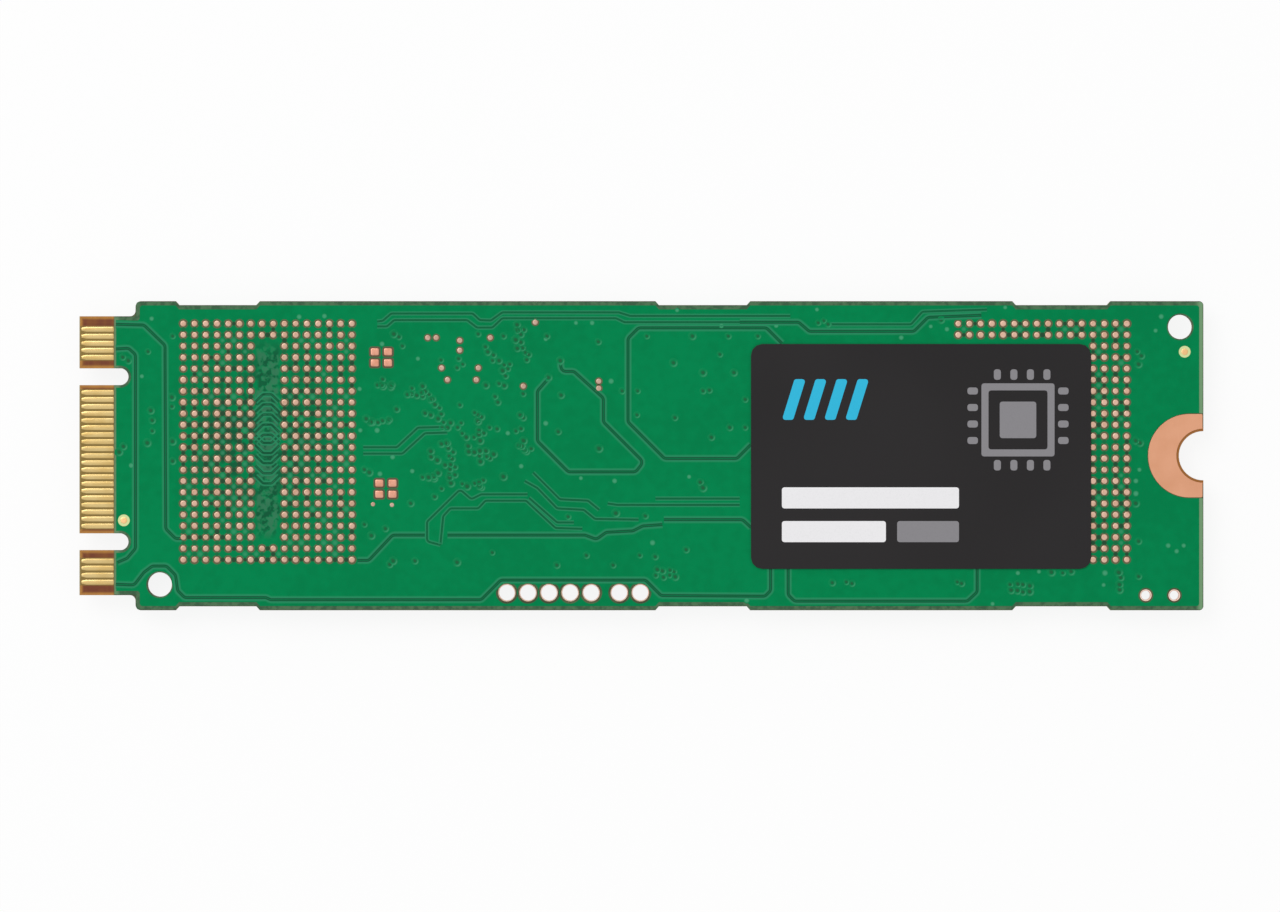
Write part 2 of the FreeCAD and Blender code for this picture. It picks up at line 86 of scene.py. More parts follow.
card_low, card_high = card_box("circuit_board")
LENGTH = card_high.x
HALF_WIDTH = card_high.y
FACE = card_high.z
BACK = card_low.z
COPPER = card_box("screw_land_upper")[1].z - FACE
MASK = 0.018
FACE_UP = Matrix.Translation((0, 0, FACE))
BACK_UP = Matrix.Translation((0, 0, BACK)) @ Matrix.Rotation(math.pi, 4, "X")
print(f"card {LENGTH:.2f} by {2 * HALF_WIDTH:.2f} mm, face at {FACE:.3f}, copper {COPPER:.3f} thick")

# %% [markdown]
# A CAD node such as the row of fingers holds many separate solids. Their places are wanted again below,
# for the softer shapes that stand for them. A copy of the node's triangles is merged, and each island of
# joined corners gives one box. Reading the frame this way keeps both models in step.

# %% Find the solids of a node
MERGE_DISTANCE = 1e-7
SORT_DIGITS = 3


def solids_of(node):
    """The box of each separate solid of a CAD node, in card millimetres, in a fixed order."""
    copy = bmesh.new()
    copy.from_mesh(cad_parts[node].data)
    bmesh.ops.remove_doubles(copy, verts=copy.verts, dist=MERGE_DISTANCE)
    waiting = set(copy.verts)
    boxes = []
    while waiting:
        front = [waiting.pop()]
        corners = []
        while front:
            corner = front.pop()
            corners.append(CARD_TO_FRAME.inverted() @ corner.co)
            for edge in corner.link_edges:
                neighbour = edge.other_vert(corner)
                if neighbour in waiting:
                    waiting.remove(neighbour)
                    front.append(neighbour)
        sides = list(zip(*corners))
        boxes.append((Vector([min(side) for side in sides]), Vector([max(side) for side in sides])))
    copy.free()
    return sorted(boxes, key=lambda box: (round(box[0].x, SORT_DIGITS), round(box[0].y, SORT_DIGITS)))


def middle(box):
    return (box[0] + box[1]) / 2


def places_of(node):
    """The middle of each solid of a node, seen from above."""
    return [middle(box).to_2d() for box in solids_of(node)]


def span_of(node):
    """Length, width and height of a node's first solid, for nodes whose solids are alike."""
    low, high = solids_of(node)[0]
    return high - low


print("fingers above:", len(solids_of("contact_fingers_upper")))

# %% [markdown]
# Materials and Geometry Nodes are both trees of nodes. One small class wraps a node's output so that
# Python's own signs add the Math nodes, and a bench adds any other node: its type, then its settings,
# then what goes into its sockets. A finish then reads like a recipe instead of a page of links.

# %% Sockets that take part in sums
def sign(operation, turned=False):
    """The method behind one of Python's signs: a Math node, with the other value first if turned."""
    def apply(self, other):
        first, second = (other, self) if turned else (self, other)
        return self.bench.add("ShaderNodeMath", {"operation": operation}, {0: first, 1: second})
    return apply


class Wire:
    """A node's output that can be used in a sum."""

    def __init__(self, bench, socket):
        self.bench = bench
        self.socket = socket

    def math(self, operation, *others):
        """A Math node that takes this output first."""
        return self.bench.add("ShaderNodeMath", {"operation": operation}, dict(enumerate((self, *others))))

    def __abs__(self):
        return self.math("ABSOLUTE")

    __add__ = sign("ADD")
    __radd__ = sign("ADD", turned=True)
    __sub__ = sign("SUBTRACT")
    __rsub__ = sign("SUBTRACT", turned=True)
    __mul__ = sign("MULTIPLY")
    __rmul__ = sign("MULTIPLY", turned=True)
    __truediv__ = sign("DIVIDE")
    __lt__ = sign("LESS_THAN")
    __gt__ = sign("GREATER_THAN")


class Bench:
    """Adds nodes to one tree."""

    def __init__(self, tree):
        self.tree = tree

    def add(self, kind, settings=None, sockets=None, out=0):
        """A node of that type, with its settings first and then its sockets. Returns one of its outputs."""
        node = self.tree.nodes.new(kind)
        for name, value in (settings or {}).items():
            setattr(node, name, value)
        for name, value in (sockets or {}).items():
            if isinstance(value, Wire):
                self.tree.links.new(value.socket, node.inputs[name])
            else:
                node.inputs[name].default_value = value
        return Wire(self, node.outputs[out]) if node.outputs else None

    def fade(self, value, start, end):
        """0 up to start, 1 from end on, and smooth between them."""
        sockets = {"Value": value, "From Min": start, "From Max": end}
        return self.add("ShaderNodeMapRange", {"interpolation_type": "SMOOTHSTEP"}, sockets)

    def band(self, value, start, full, fall, end):
        """1 from full to fall, 0 before start and after end, and smooth between them."""
        return self.fade(value, start, full) * (1 - self.fade(value, fall, end))

    def point(self, **parts):
        return self.add("ShaderNodeCombineXYZ", None, parts)


def between(low, high, share):
    """A value that goes from low to high as the share goes from 0 to 1."""
    return low + share * (high - low)


print("bench ready")

# %% [markdown]
# A finish is a Principled shader whose colour, roughness and bump come from noise on Object coordinates.
# They are in metres, so a noise scale of 1000 gives spots about a millimetre wide. Colours are written
# as they are seen on a screen, from 0 to 255, and turned into the linear numbers that Blender's sockets
# take.

# %% Finishes
MIX_FIRST_COLOUR = 6
MIX_SECOND_COLOUR = 7
MIX_COLOUR_OUT = 2
SCREEN_OFFSET = 0.055
SCREEN_POWER = 2.4


def srgb(*levels):
    """A screen colour, each part from 0 to 255, as linear numbers with an alpha of 1."""
    parts = [(level / 255 + SCREEN_OFFSET) / (1 + SCREEN_OFFSET) for level in levels]
    return (*[part ** SCREEN_POWER for part in parts], 1.0)


class Paint(Bench):
    """A material in the making."""

    def __init__(self, name):
        self.material = bpy.data.materials.new(name)
        self.material.use_nodes = True
        self.material.node_tree.nodes.clear()
        super().__init__(self.material.node_tree)
        self.place = self.add("ShaderNodeTexCoord", out="Object")

    def axis(self, letter):
        """One Object coordinate, in card millimetres."""
        part = self.add("ShaderNodeSeparateXYZ", None, {"Vector": self.place}, letter)
        offset = CARD_TO_FRAME.translation["XYZ".index(letter)]
        return (part - offset) / MM

    def noise(self, scale, detail=2.0, stretch=(1.0, 1.0, 1.0)):
        spread = self.add("ShaderNodeMapping", None, {"Vector": self.place, "Scale": stretch})
        return self.add("ShaderNodeTexNoise", None, {"Vector": spread, "Scale": scale, "Detail": detail})

    def blend(self, share, first, second):
        """The first colour at a share of 0, the second at 1."""
        sockets = {0: share, MIX_FIRST_COLOUR: first, MIX_SECOND_COLOUR: second}
        return self.add("ShaderNodeMix", {"data_type": "RGBA"}, sockets, MIX_COLOUR_OUT)

    def attribute(self, name):
        return self.add("ShaderNodeAttribute", {"attribute_name": name}, None, "Fac")

    def bump(self, height, depth):
        """A surface that rises by that many millimetres where height is 1."""
        return self.add("ShaderNodeBump", None, {"Height": height, "Distance": depth * MM})

    def finish(self, colour, roughness, metallic=0.0, normal=None, specular=0.5):
        sockets = {"Base Color": colour, "Roughness": roughness, "Metallic": metallic}
        sockets["Specular IOR Level"] = specular
        if normal:
            sockets["Normal"] = normal
        shader = self.add("ShaderNodeBsdfPrincipled", None, sockets)
        self.add("ShaderNodeOutputMaterial", None, {"Surface": shader})
        return self.material


print("mask green in linear numbers:", [round(part, 4) for part in srgb(2, 131, 77)])

# %% [markdown]
# Almost every shape on a card starts as a flat outline: a rectangle with rounded corners, a circle, or a
# longer run of corners such as the edge of the mask. Three small functions give the points of such an
# outline. Each rounded corner is an arc that touches both of its sides, so no bevel is needed later.

# %% Outlines
def through(corners, steps=4):
    """Points along an outline of (x, y, radius) corners, with steps points round each rounded corner."""
    points = []
    for i, (x, y, radius) in enumerate(corners):
        corner = Vector((x, y))
        before = (Vector(corners[i - 1][:2]) - corner).normalized()
        after = (Vector(corners[(i + 1) % len(corners)][:2]) - corner).normalized()
        if radius == 0:
            points.append(corner)
            continue
        half = before.angle(after) / 2
        centre = corner + (before + after).normalized() * (radius / math.sin(half))
        start = corner + before * (radius / math.tan(half)) - centre
        turn = math.copysign(math.pi - 2 * half, before.x * after.y - before.y * after.x)
        for step in range(steps):
            angle = -turn * step / (steps - 1)
            points.append(centre + Matrix.Rotation(angle, 2) @ start)
    return points


def circle(radius, z, count=16, centre=(0.0, 0.0)):
    turns = [2 * math.pi * i / count for i in range(count)]
    return [(centre[0] + radius * math.cos(t), centre[1] + radius * math.sin(t), z) for t in turns]


def pad_loop(length, width, radius, z, centre=(0.0, 0.0)):
    """A rectangle with rounded corners, centred on a point."""
    ways = ((1, 1), (-1, 1), (-1, -1), (1, -1))
    corners = [(centre[0] + a * length / 2, centre[1] + b * width / 2, radius) for a, b in ways]
    return [(*point, z) for point in through(corners)]


print("a pad loop has", len(pad_loop(1, 1, 0.1, 0)), "points")

# %% [markdown]
# Many pieces are a stack of such loops: a pad, a package or a foot starts with an outline, rises, rounds
# over and closes. If each loop has the same number of points, a strip of faces between neighbours and a cap
# at each end make a closed skin. A level can be stored with each loop, for a finish that changes up the
# stack. Flat sheets, such as the label, or the mask with its openings, are filled curves with a fine bevel.

# %% Skins and sheets
def skin(name, loops, levels=None):
    """A closed mesh through loops of equal length, capped at both ends, with a level for each loop."""
    shape = bmesh.new()
    rows = [[shape.verts.new(point) for point in loop] for loop in loops]
    for lower, upper in zip(rows, rows[1:]):
        for i in range(len(lower)):
            shape.faces.new((lower[i - 1], lower[i], upper[i], upper[i - 1]))
    shape.faces.new(rows[0])
    shape.faces.new(rows[-1])
    bmesh.ops.recalc_face_normals(shape, faces=shape.faces)
    mesh = bpy.data.meshes.new(name)
    shape.to_mesh(mesh)
    shape.free()
    if levels:
        values = [level for level in levels for _ in loops[0]]
        mesh.attributes.new("level", "FLOAT", "POINT").data.foreach_set("value", values)
    return mesh


def film(name, outlines, low, high, rim):
    """A flat sheet from low to high, filled inside its outlines and rounded at its rim."""
    curve = bpy.data.curves.new(name, "CURVE")
    curve.dimensions = "2D"
    curve.fill_mode = "BOTH"
    curve.extrude = (high - low) / 2 - rim
    curve.bevel_depth = rim
    curve.bevel_resolution = 1
    curve.offset = -rim
    for outline in outlines:
        spline = curve.splines.new("POLY")
        spline.points.add(len(outline) - 1)
        spline.points.foreach_set("co", [part for x, y, *_ in outline for part in (x, y, 0.0, 1.0)])
        spline.use_cyclic_u = True
    holder = bpy.data.objects.new(name, curve)
    mesh = bpy.data.meshes.new_from_object(holder)
    bpy.data.objects.remove(holder)
    bpy.data.curves.remove(curve)
    mesh.transform(Matrix.Translation((0, 0, (low + high) / 2)))
    return welded(mesh)


def welded(*meshes):
    """The meshes as one, with doubled corners merged and faces pointing outwards."""
    shape = bmesh.new()
    for mesh in meshes:
        shape.from_mesh(mesh)
    bmesh.ops.remove_doubles(shape, verts=shape.verts, dist=MERGE_DISTANCE / MM)
    bmesh.ops.recalc_face_normals(shape, faces=shape.faces)
    shape.to_mesh(meshes[0])
    shape.free()
    return meshes[0]


trial = skin("trial", [circle(1, z) for z in (0, 1, 2)])
print("a skin through three circles has", len(trial.polygons), "faces")
bpy.data.meshes.remove(trial)

# %% [markdown]
# A finished mesh enters the scene as a piece: it goes from card millimetres into the frame, gets its finish,
# rides on the drive, and hides the CAD nodes it stands for. Edges sharper than an angle are shaded as edges.
# On flat sheets that angle is small, because a bevel shaded together with the flat top would make the sheet
# look like a cushion.

# %% Pieces
ROUNDED = 35
FLAT = 15


def enter(name, mesh, finish, slot, *nodes, side=Matrix.Identity(4), smooth=ROUNDED):
    """Puts a mesh into the scene as a piece that rides on the drive and stands for those nodes."""
    mesh.transform(CARD_TO_FRAME @ side)
    mesh.materials.clear()
    mesh.materials.append(finish)
    mesh.shade_smooth()
    mesh.set_sharp_from_angle(angle=math.radians(smooth))
    piece = bpy.data.objects.new(name, mesh)
    bpy.context.scene.collection.objects.link(piece)
    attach(piece, "root")
    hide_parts(*nodes)
    print(f"{name}: {len(mesh.polygons)} faces")


# %% [markdown]
# A card is made of repeats: fingers, lands, vias, balls, capacitors. Geometry Nodes make them. A recipe
# is a node tree with named inputs that ends in Realize Instances and Set Material. It runs on a starting
# mesh and the result is kept as a plain mesh.

# %% Recipes in Geometry Nodes
class Recipe(Bench):
    """A Geometry Nodes tree with named inputs."""

    def __init__(self, name, inputs):
        super().__init__(bpy.data.node_groups.new(name, "GeometryNodeTree"))
        kinds = {"Geometry": "Geometry", **inputs, "Finish": "Material"}
        for label, kind in kinds.items():
            self.tree.interface.new_socket(label, in_out="INPUT", socket_type="NodeSocket" + kind)
        self.tree.interface.new_socket("Geometry", in_out="OUTPUT", socket_type="NodeSocketGeometry")
        self.start = self.tree.nodes.new("NodeGroupInput")

    def given(self, label):
        return Wire(self, self.start.outputs[label])

    def finish(self, geometry):
        whole = self.add("GeometryNodeRealizeInstances", None, {"Geometry": geometry})
        sockets = {"Geometry": whole, "Material": self.given("Finish")}
        painted = self.add("GeometryNodeSetMaterial", None, sockets)
        end = self.tree.nodes.new("NodeGroupOutput")
        self.tree.links.new(painted.socket, end.inputs[0])

    def grow(self, start, finish, sizes):
        """Runs the recipe on a starting mesh and returns a plain mesh."""
        holder = bpy.data.objects.new(self.tree.name, start)
        bpy.context.scene.collection.objects.link(holder)
        modifier = holder.modifiers.new(self.tree.name, "NODES")
        modifier.node_group = self.tree
        values = {**sizes, "Finish": finish}
        for item in self.tree.interface.items_tree:
            if item.in_out == "INPUT" and item.name in values:
                modifier[item.identifier] = values[item.name]
        graph = bpy.context.evaluated_depsgraph_get()
        mesh = bpy.data.meshes.new_from_object(holder.evaluated_get(graph), depsgraph=graph)
        holder.modifiers.remove(modifier)
        bpy.data.objects.remove(holder)
        bpy.data.meshes.remove(start)
        return mesh


print("recipes ready")

# %% [markdown]
# The first recipe sets one shape on every point, with the size and turn that the point carries. The shape
# could also be joined in Python, point by point, but the tree does it in one step and says it more clearly.

# %% Scatter recipe
scatter = Recipe("scatter", {"Shape": "Object"})
shape_here = scatter.add("GeometryNodeObjectInfo", None, {"Object": scatter.given("Shape")}, "Geometry")
size_here = scatter.add("GeometryNodeInputNamedAttribute", {"data_type": "FLOAT"}, {"Name": "size"})
turn_here = scatter.add("GeometryNodeInputNamedAttribute", {"data_type": "FLOAT"}, {"Name": "turn"})
scatter.finish(scatter.add("GeometryNodeInstanceOnPoints", None, {
    "Points": scatter.given("Geometry"),
    "Instance": shape_here,
    "Rotation": scatter.point(Z=turn_here),
    "Scale": size_here,
}))


def scattered(shape, places, finish, sizes=None, turns=None):
    """One shape set on each place, with its own size and turn."""
    points = bpy.data.meshes.new("points")
    points.from_pydata([Vector(place).to_3d() for place in places], [], [])
    for name, values in (("size", sizes or [1.0] * len(places)), ("turn", turns or [0.0] * len(places))):
        points.attributes.new(name, "FLOAT", "POINT").data.foreach_set("value", values)
    pattern = bpy.data.objects.new("pattern", shape)
    bpy.context.scene.collection.objects.link(pattern)
    mesh = scatter.grow(points, finish, {"Shape": pattern})
    bpy.data.objects.remove(pattern)
    return mesh


def enter_each(name, shape, places, finish, slot, *nodes, side=Matrix.Identity(4), sizes=None, turns=None):
    """Enters a piece made of one shape on each place."""
    enter(name, scattered(shape, places, finish, sizes, turns), finish, slot, *nodes, side=side)


print("scatter recipe with", len(scatter.tree.nodes), "nodes")

# %% [markdown]
# The picture is taken from straight above, from far away, so that the card shows no perspective: a long
# lens half a metre up. The connector points left.

# %% Camera
VIEW_WIDTH = 91.1
VIEW_CENTRE = (-0.096, -0.02)
LENS = 200.0
camera_data = bpy.data.cameras.new("camera")
camera_data.lens = LENS
camera = bpy.data.objects.new("camera", camera_data)
height = VIEW_WIDTH * LENS / camera_data.sensor_width + FACE
camera.location = Vector((*VIEW_CENTRE, height)) * MM
bpy.context.scene.collection.objects.link(camera)
bpy.context.scene.camera = camera
bpy.context.scene.view_settings.view_transform = "Standard"
print(f"camera {height:.0f} mm up")

# %% [markdown]
# The light is a bright room: an even white world and one large soft lamp from the upper left, which
# together light an upward face at a level of about one, so that a colour renders as it is written. For
# what the camera, a gloss or a clear piece sees, the world is plain white.

# %% World and lamp
WORLD_LEVEL = 0.6
LAMP_POWER = 2.4
LAMP_SIDE = 0.5
LAMP_PLACE = Vector((-0.3, 0.32, 0.6))


def seen_directly(bench):
    """1 for what the camera sees, straight or in a gloss or a clear piece, and 0 for light on surfaces."""
    seen = bench.add("ShaderNodeLightPath", out="Is Camera Ray")
    for ray in ("Is Glossy Ray", "Is Transmission Ray"):
        seen = seen.math("MAXIMUM", bench.add("ShaderNodeLightPath", out=ray))
    return seen


world = bpy.data.worlds.new("bright_room")
bpy.context.scene.world = world
world.use_nodes = True
world.node_tree.nodes.clear()
room = Bench(world.node_tree)
sky = room.add("ShaderNodeBackground", None, {
    "Color": srgb(255, 255, 255),
    "Strength": between(WORLD_LEVEL, 1, seen_directly(room)),
})
room.add("ShaderNodeOutputWorld", None, {"Surface": sky})

lamp_data = bpy.data.lights.new("soft_lamp", "AREA")
lamp_data.energy = LAMP_POWER
lamp_data.size = LAMP_SIDE
lamp = bpy.data.objects.new("soft_lamp", lamp_data)
lamp.location = LAMP_PLACE
lamp.rotation_euler = (-LAMP_PLACE).to_track_quat("-Z", "Y").to_euler()
bpy.context.scene.collection.objects.link(lamp)
print(f"lamp {LAMP_SIDE} m wide, {LAMP_PLACE.length:.2f} m away")

# %% [markdown]
# The floor is white too. It is partly lit and partly glowing for the rays that see it directly, so it stays
# white and still takes the card's shadow. It lies a hair below the packages, because two faces in one plane
# would flicker.

# %% Floor
FLOOR_SIDE = 3.0
FLOOR_DROP = 0.02
FLOOR_WHITE = srgb(252, 252, 252)
FLOOR_GLOW = 0.88

white = Paint("white_floor")
lit = white.add("ShaderNodeBsdfDiffuse", None, {"Color": FLOOR_WHITE})
glow = white.add("ShaderNodeEmission", None, {"Strength": 1.0})
mixed = white.add("ShaderNodeMixShader", None, {0: seen_directly(white) * FLOOR_GLOW, 1: lit, 2: glow})
white.add("ShaderNodeOutputMaterial", None, {"Surface": mixed})
floor_mesh = bpy.data.meshes.new("floor")
half = FLOOR_SIDE / 2
corners = [(a * half, b * half, -FLOOR_DROP * MM) for a, b in ((-1, -1), (1, -1), (1, 1), (-1, 1))]
floor_mesh.from_pydata(corners, [], [(0, 1, 2, 3)])
floor_mesh.materials.append(white.material)
floor = bpy.data.objects.new("floor", floor_mesh)
bpy.context.scene.collection.objects.link(floor)
floor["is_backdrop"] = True
print("floor", FLOOR_SIDE, "m wide")

# %% [markdown]
# The card's core is glass cloth in resin. It shows only where no mask covers it. On the tongue it is brown,
# rubbed golden along the edges, and a dull gold between the fingers. The CAD board has the right shape, so
# it stays and only gets a finish, which knows from Object coordinates where on the card it is.

# %% Laminate of the tongue
MASK_START = 2.47
TONGUE_HALF = 9.925
KEYS = (-6.125, 5.625)
KEY_HALF = 0.6
TONGUE_BROWN = srgb(116, 62, 40)
TONGUE_GOLDEN = srgb(194, 138, 66)
BETWEEN_FINGERS = srgb(140, 116, 62)
ROW_MARGIN = 0.12
ROW_GAP = 1.0
RUBBED_TIP = (0.1, 0.35)
RUBBED_SIDE = (0.08, 0.3)
RUBBED_SHOWN = 0.7
CLOTH_SCALE = 2600
CLOTH_STRETCH = 0.12
CLOTH_SHOWN = 0.15


def finger_rows():
    """The lowest and highest y of each group of fingers, parted by the keys."""
    rows = []
    for low, high in sorted(solids_of("contact_fingers_upper"), key=lambda box: box[0].y):
        if rows and low.y - rows[-1][1] < ROW_GAP:
            rows[-1][1] = high.y
        else:
            rows.append([low.y, high.y])
    return rows


core = Paint("glass_laminate")
weave_along = core.noise(CLOTH_SCALE, detail=1.0, stretch=(CLOTH_STRETCH, 1.0, 1.0))
weave_across = core.noise(CLOTH_SCALE, detail=1.0, stretch=(1.0, CLOTH_STRETCH, 1.0))
weave = core.fade(weave_along * 0.5 + weave_across * 0.5, start=0.38, end=0.62)
rubbed = 1 - core.fade(core.axis("X"), *RUBBED_TIP)
for edge in (-TONGUE_HALF, TONGUE_HALF, *[key + way * KEY_HALF for key in KEYS for way in (-1, 1)]):
    rubbed = rubbed.math("MAXIMUM", 1 - core.fade(abs(core.axis("Y") - edge), *RUBBED_SIDE))
tongue = core.blend(weave * CLOTH_SHOWN + rubbed * RUBBED_SHOWN, TONGUE_BROWN, TONGUE_GOLDEN)
for low_y, high_y in finger_rows():
    inside_row = core.band(core.axis("Y"), low_y - ROW_MARGIN, low_y, high_y, high_y + ROW_MARGIN)
    tongue = core.blend(inside_row, tongue, BETWEEN_FINGERS)
print("finger rows at", [[round(y, 2) for y in row] for row in finger_rows()])

# %% [markdown]
# Along the routed edges and round the holes the core is a dark olive line, and round the screw notch a
# golden one. On the side walls the layers of cloth show as fine stripes, which follow the height alone.

# %% Laminate of the edges
NOTCH_RADIUS = 1.75
NOTCH_LINE = 0.2
NOTCH_LINE_SOFT = 0.1
NOTCH_GOLDEN = srgb(158, 102, 48)
EDGE_OLIVE = srgb(92, 104, 74)
EDGE_DARK = srgb(66, 74, 52)
LAYER_TAN = srgb(150, 138, 92)
LAYER_HEIGHT = 0.2
WALL_MARGIN = 0.06
TONGUE_BLEND = 0.1

routed = core.blend(weave, EDGE_DARK, EDGE_OLIVE)
past_tongue = core.fade(core.axis("X"), MASK_START - TONGUE_BLEND, MASK_START + TONGUE_BLEND)
face_colour = core.blend(past_tongue, tongue, routed)
from_end = core.axis("X") - LENGTH
squared = from_end * from_end + core.axis("Y") * core.axis("Y")
line_end = NOTCH_RADIUS + NOTCH_LINE
by_notch = 1 - core.fade(squared.math("SQRT"), line_end, line_end + NOTCH_LINE_SOFT)
face_colour = core.blend(by_notch, face_colour, NOTCH_GOLDEN)
up_wall = core.axis("Z")
layer = up_wall / LAYER_HEIGHT
stripe = abs(layer.math("FRACT") - 0.5) * 2
on_wall = core.band(up_wall, BACK, BACK + WALL_MARGIN, FACE - WALL_MARGIN, FACE)
layers = on_wall * core.fade(stripe + weave * 0.4, start=0.3, end=0.9)
laminate = core.finish(core.blend(layers, face_colour, LAYER_TAN), between(0.62, 0.77, weave),
                       normal=core.bump(weave, depth=0.01), specular=0.2)
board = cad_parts["circuit_board"]
board.data.materials.clear()
board.data.materials.append(laminate)
print("laminate on the CAD board, with", len(core.tree.nodes), "nodes")

# %% [markdown]
# The green is solder mask, a glossy lacquer printed on both faces. It covers the copper, which stops short
# of the routed edges, and runs on over the bare laminate as a lower olive rim. It could be only a colour on
# the board, but thin sheets give the fine step that catches the light along every edge. Their outlines
# repeat the card's, set back a little, with an opening round each hole.

# %% Outlines of the mask
TONGUE_LENGTH = 4.0
RECESSES = ((6.85, 12.85), (41.0, 47.75), (66.4, 73.4))
RECESS_DEPTH = 0.28
RECESS_SLOPE = 0.25
KEY_DEPTH = 3.5
SCREW_LAND_RADIUS = 2.97
SCREW_LAND_CENTRE = 79.04
LAND_CLEARANCE = 0.05
TOOLING_HOLES = ((5.72, -9.17), (78.35, 9.17))
TOOLING_RADIUS = 0.87
BARREL_OPENINGS = {"header_hole_barrels": 0.78, "service_hole_barrels": 0.53}
CARD_CORNER = 0.2
NEARLY_ROUND = 0.99
CORNER_STEPS = 12
TOOLING_SIDES = 36
BARREL_SIDES = 28
START_SHARE = 0.5
KEY_SHARE = 0.6
TOOLING_SHARE = 0.3


def mask_outline(setback):
    """The card's outline set back, from the lower corner of the tongue round the screw end."""
    edge = HALF_WIDTH - setback
    side = TONGUE_HALF - setback
    shoulder = TONGUE_LENGTH + setback
    long_edge = [(shoulder, edge, CARD_CORNER)]
    for start, end in RECESSES:
        floor_y = edge - RECESS_DEPTH
        long_edge += [(start, edge, 0), (start + RECESS_SLOPE, floor_y, 0)]
        long_edge += [(end - RECESS_SLOPE, floor_y, 0), (end, edge, 0)]
    first = MASK_START + START_SHARE * setback
    end_x = LENGTH - setback
    reach = SCREW_LAND_RADIUS + LAND_CLEARANCE
    land_x = SCREW_LAND_CENTRE - reach
    upper = [(land_x, reach, reach), (end_x, reach, 0), (end_x, edge, CARD_CORNER), *reversed(long_edge)]
    upper += [(shoulder, side, CARD_CORNER), (first, side, 0)]
    corners = [(x, -y, radius) for x, y, radius in reversed(upper)] + upper
    for key in reversed(KEYS):
        wide = KEY_HALF + KEY_SHARE * setback
        deep = KEY_DEPTH + KEY_SHARE * setback
        corners += [(first, key + wide, 0), (deep, key + wide, wide * NEARLY_ROUND)]
        corners += [(deep, key - wide, wide * NEARLY_ROUND), (first, key - wide, 0)]
    return through(corners, CORNER_STEPS)


def hole_openings(setback):
    """A wider circle round each hole of the card."""
    radius = TOOLING_RADIUS + TOOLING_SHARE * setback
    openings = [circle(radius, 0, TOOLING_SIDES, centre) for centre in TOOLING_HOLES]
    for node, radius in BARREL_OPENINGS.items():
        openings += [circle(radius, 0, BARREL_SIDES, centre) for centre in places_of(node)]
    return openings


print("mask outline of", len(mask_outline(0.0)), "points with", len(hole_openings(0.0)), "openings")

# %% [markdown]
# The green drifts a little, as it does over copper of different density. It is darker in patches under the
# middle of the first empty site, and greyer in the strip there, where tracks lie too close to be told
# apart. Grooves and vias are part of the same lacquer, so the colour is a function that their finishes
# share.

# %% Colour of the mask
MASK_DEEP = srgb(0, 129, 75)
MASK_BRIGHT = srgb(0, 136, 80)
MASK_SHADOW = srgb(24, 82, 56)
STRIP_GREY = srgb(62, 124, 92)
PATCH_CENTRE = (12.6, 1.6)
PATCH_START = 1.0
PATCH_REACH = 7.0
PATCH_SQUASH = 0.6
PATCH_STRENGTH = 0.85
STRIP_X = (12.65, 14.15)
STRIP_Y = (-6.2, 8.4)
STRIP_SOFT = 0.15
STRIP_RAGGED = 0.9
STRIP_ENDS = (1.2, 1.5)
STRIP_STRENGTH = 0.75


def mask_colour(paint):
    """The green of the mask, which grooves and vias share."""
    drift = paint.noise(140, detail=3.0) * 0.5 + paint.noise(1500) * 0.5
    green = paint.blend(paint.fade(drift, start=0.36, end=0.64), MASK_DEEP, MASK_BRIGHT)
    across = paint.axis("X")
    up = paint.axis("Y")
    on_face = paint.axis("Z") > (FACE + BACK) / 2
    from_centre_x = across - PATCH_CENTRE[0]
    from_centre_y = up - PATCH_CENTRE[1]
    squared = from_centre_x * from_centre_x + from_centre_y * from_centre_y * PATCH_SQUASH
    near = 1 - paint.fade(squared.math("SQRT"), PATCH_START, PATCH_REACH)
    spots = paint.fade(paint.noise(1100, detail=3.0), start=0.42, end=0.56)
    green = paint.blend(on_face * near * spots * PATCH_STRENGTH, green, MASK_SHADOW)
    ragged = across + (paint.noise(900, detail=3.0) - 0.5) * STRIP_RAGGED
    left, right = STRIP_X
    low, high = STRIP_Y
    in_strip = on_face * paint.band(up, low, low + STRIP_ENDS[0], high - STRIP_ENDS[1], high)
    in_strip = in_strip * paint.band(ragged, left - STRIP_SOFT, left + STRIP_SOFT,
                                     right - STRIP_SOFT, right + STRIP_SOFT) * STRIP_STRENGTH
    crowded = paint.noise(2600)
    green = paint.blend(in_strip * paint.fade(crowded, start=0.4, end=0.6), green, STRIP_GREY)
    return paint.blend(in_strip * (1 - paint.fade(crowded, start=0.38, end=0.5)), green, MASK_SHADOW)


green_paint = Paint("green_mask")
peel = green_paint.noise(5200)
green_mask = green_paint.finish(mask_colour(green_paint), between(0.14, 0.28, peel),
                                normal=green_paint.bump(peel, depth=0.0015), specular=0.03)
print("green mask with", len(green_paint.tree.nodes), "nodes")

# %% [markdown]
# Two sheets lie on each face: an olive one that almost reaches the edge, with the cloth showing through it,
# and a green one on it, set back further. The rim is paler at the screw end and along the tongue.

# %% Sheets of the mask
RIM = 0.009
RIM_SETBACK = 0.05
GREEN_SETBACK = 0.3
MASK_RIM = 0.003
RIM_OLIVE = srgb(82, 116, 84)
RIM_DARK = srgb(60, 94, 68)
RIM_PALE = srgb(122, 162, 120)
END_PALE = 0.9
END_FADE = (LENGTH - 0.6, LENGTH - 0.2)
TONGUE_PALE = 0.5
TONGUE_FADE = (MASK_START + 0.2, MASK_START + 0.5)

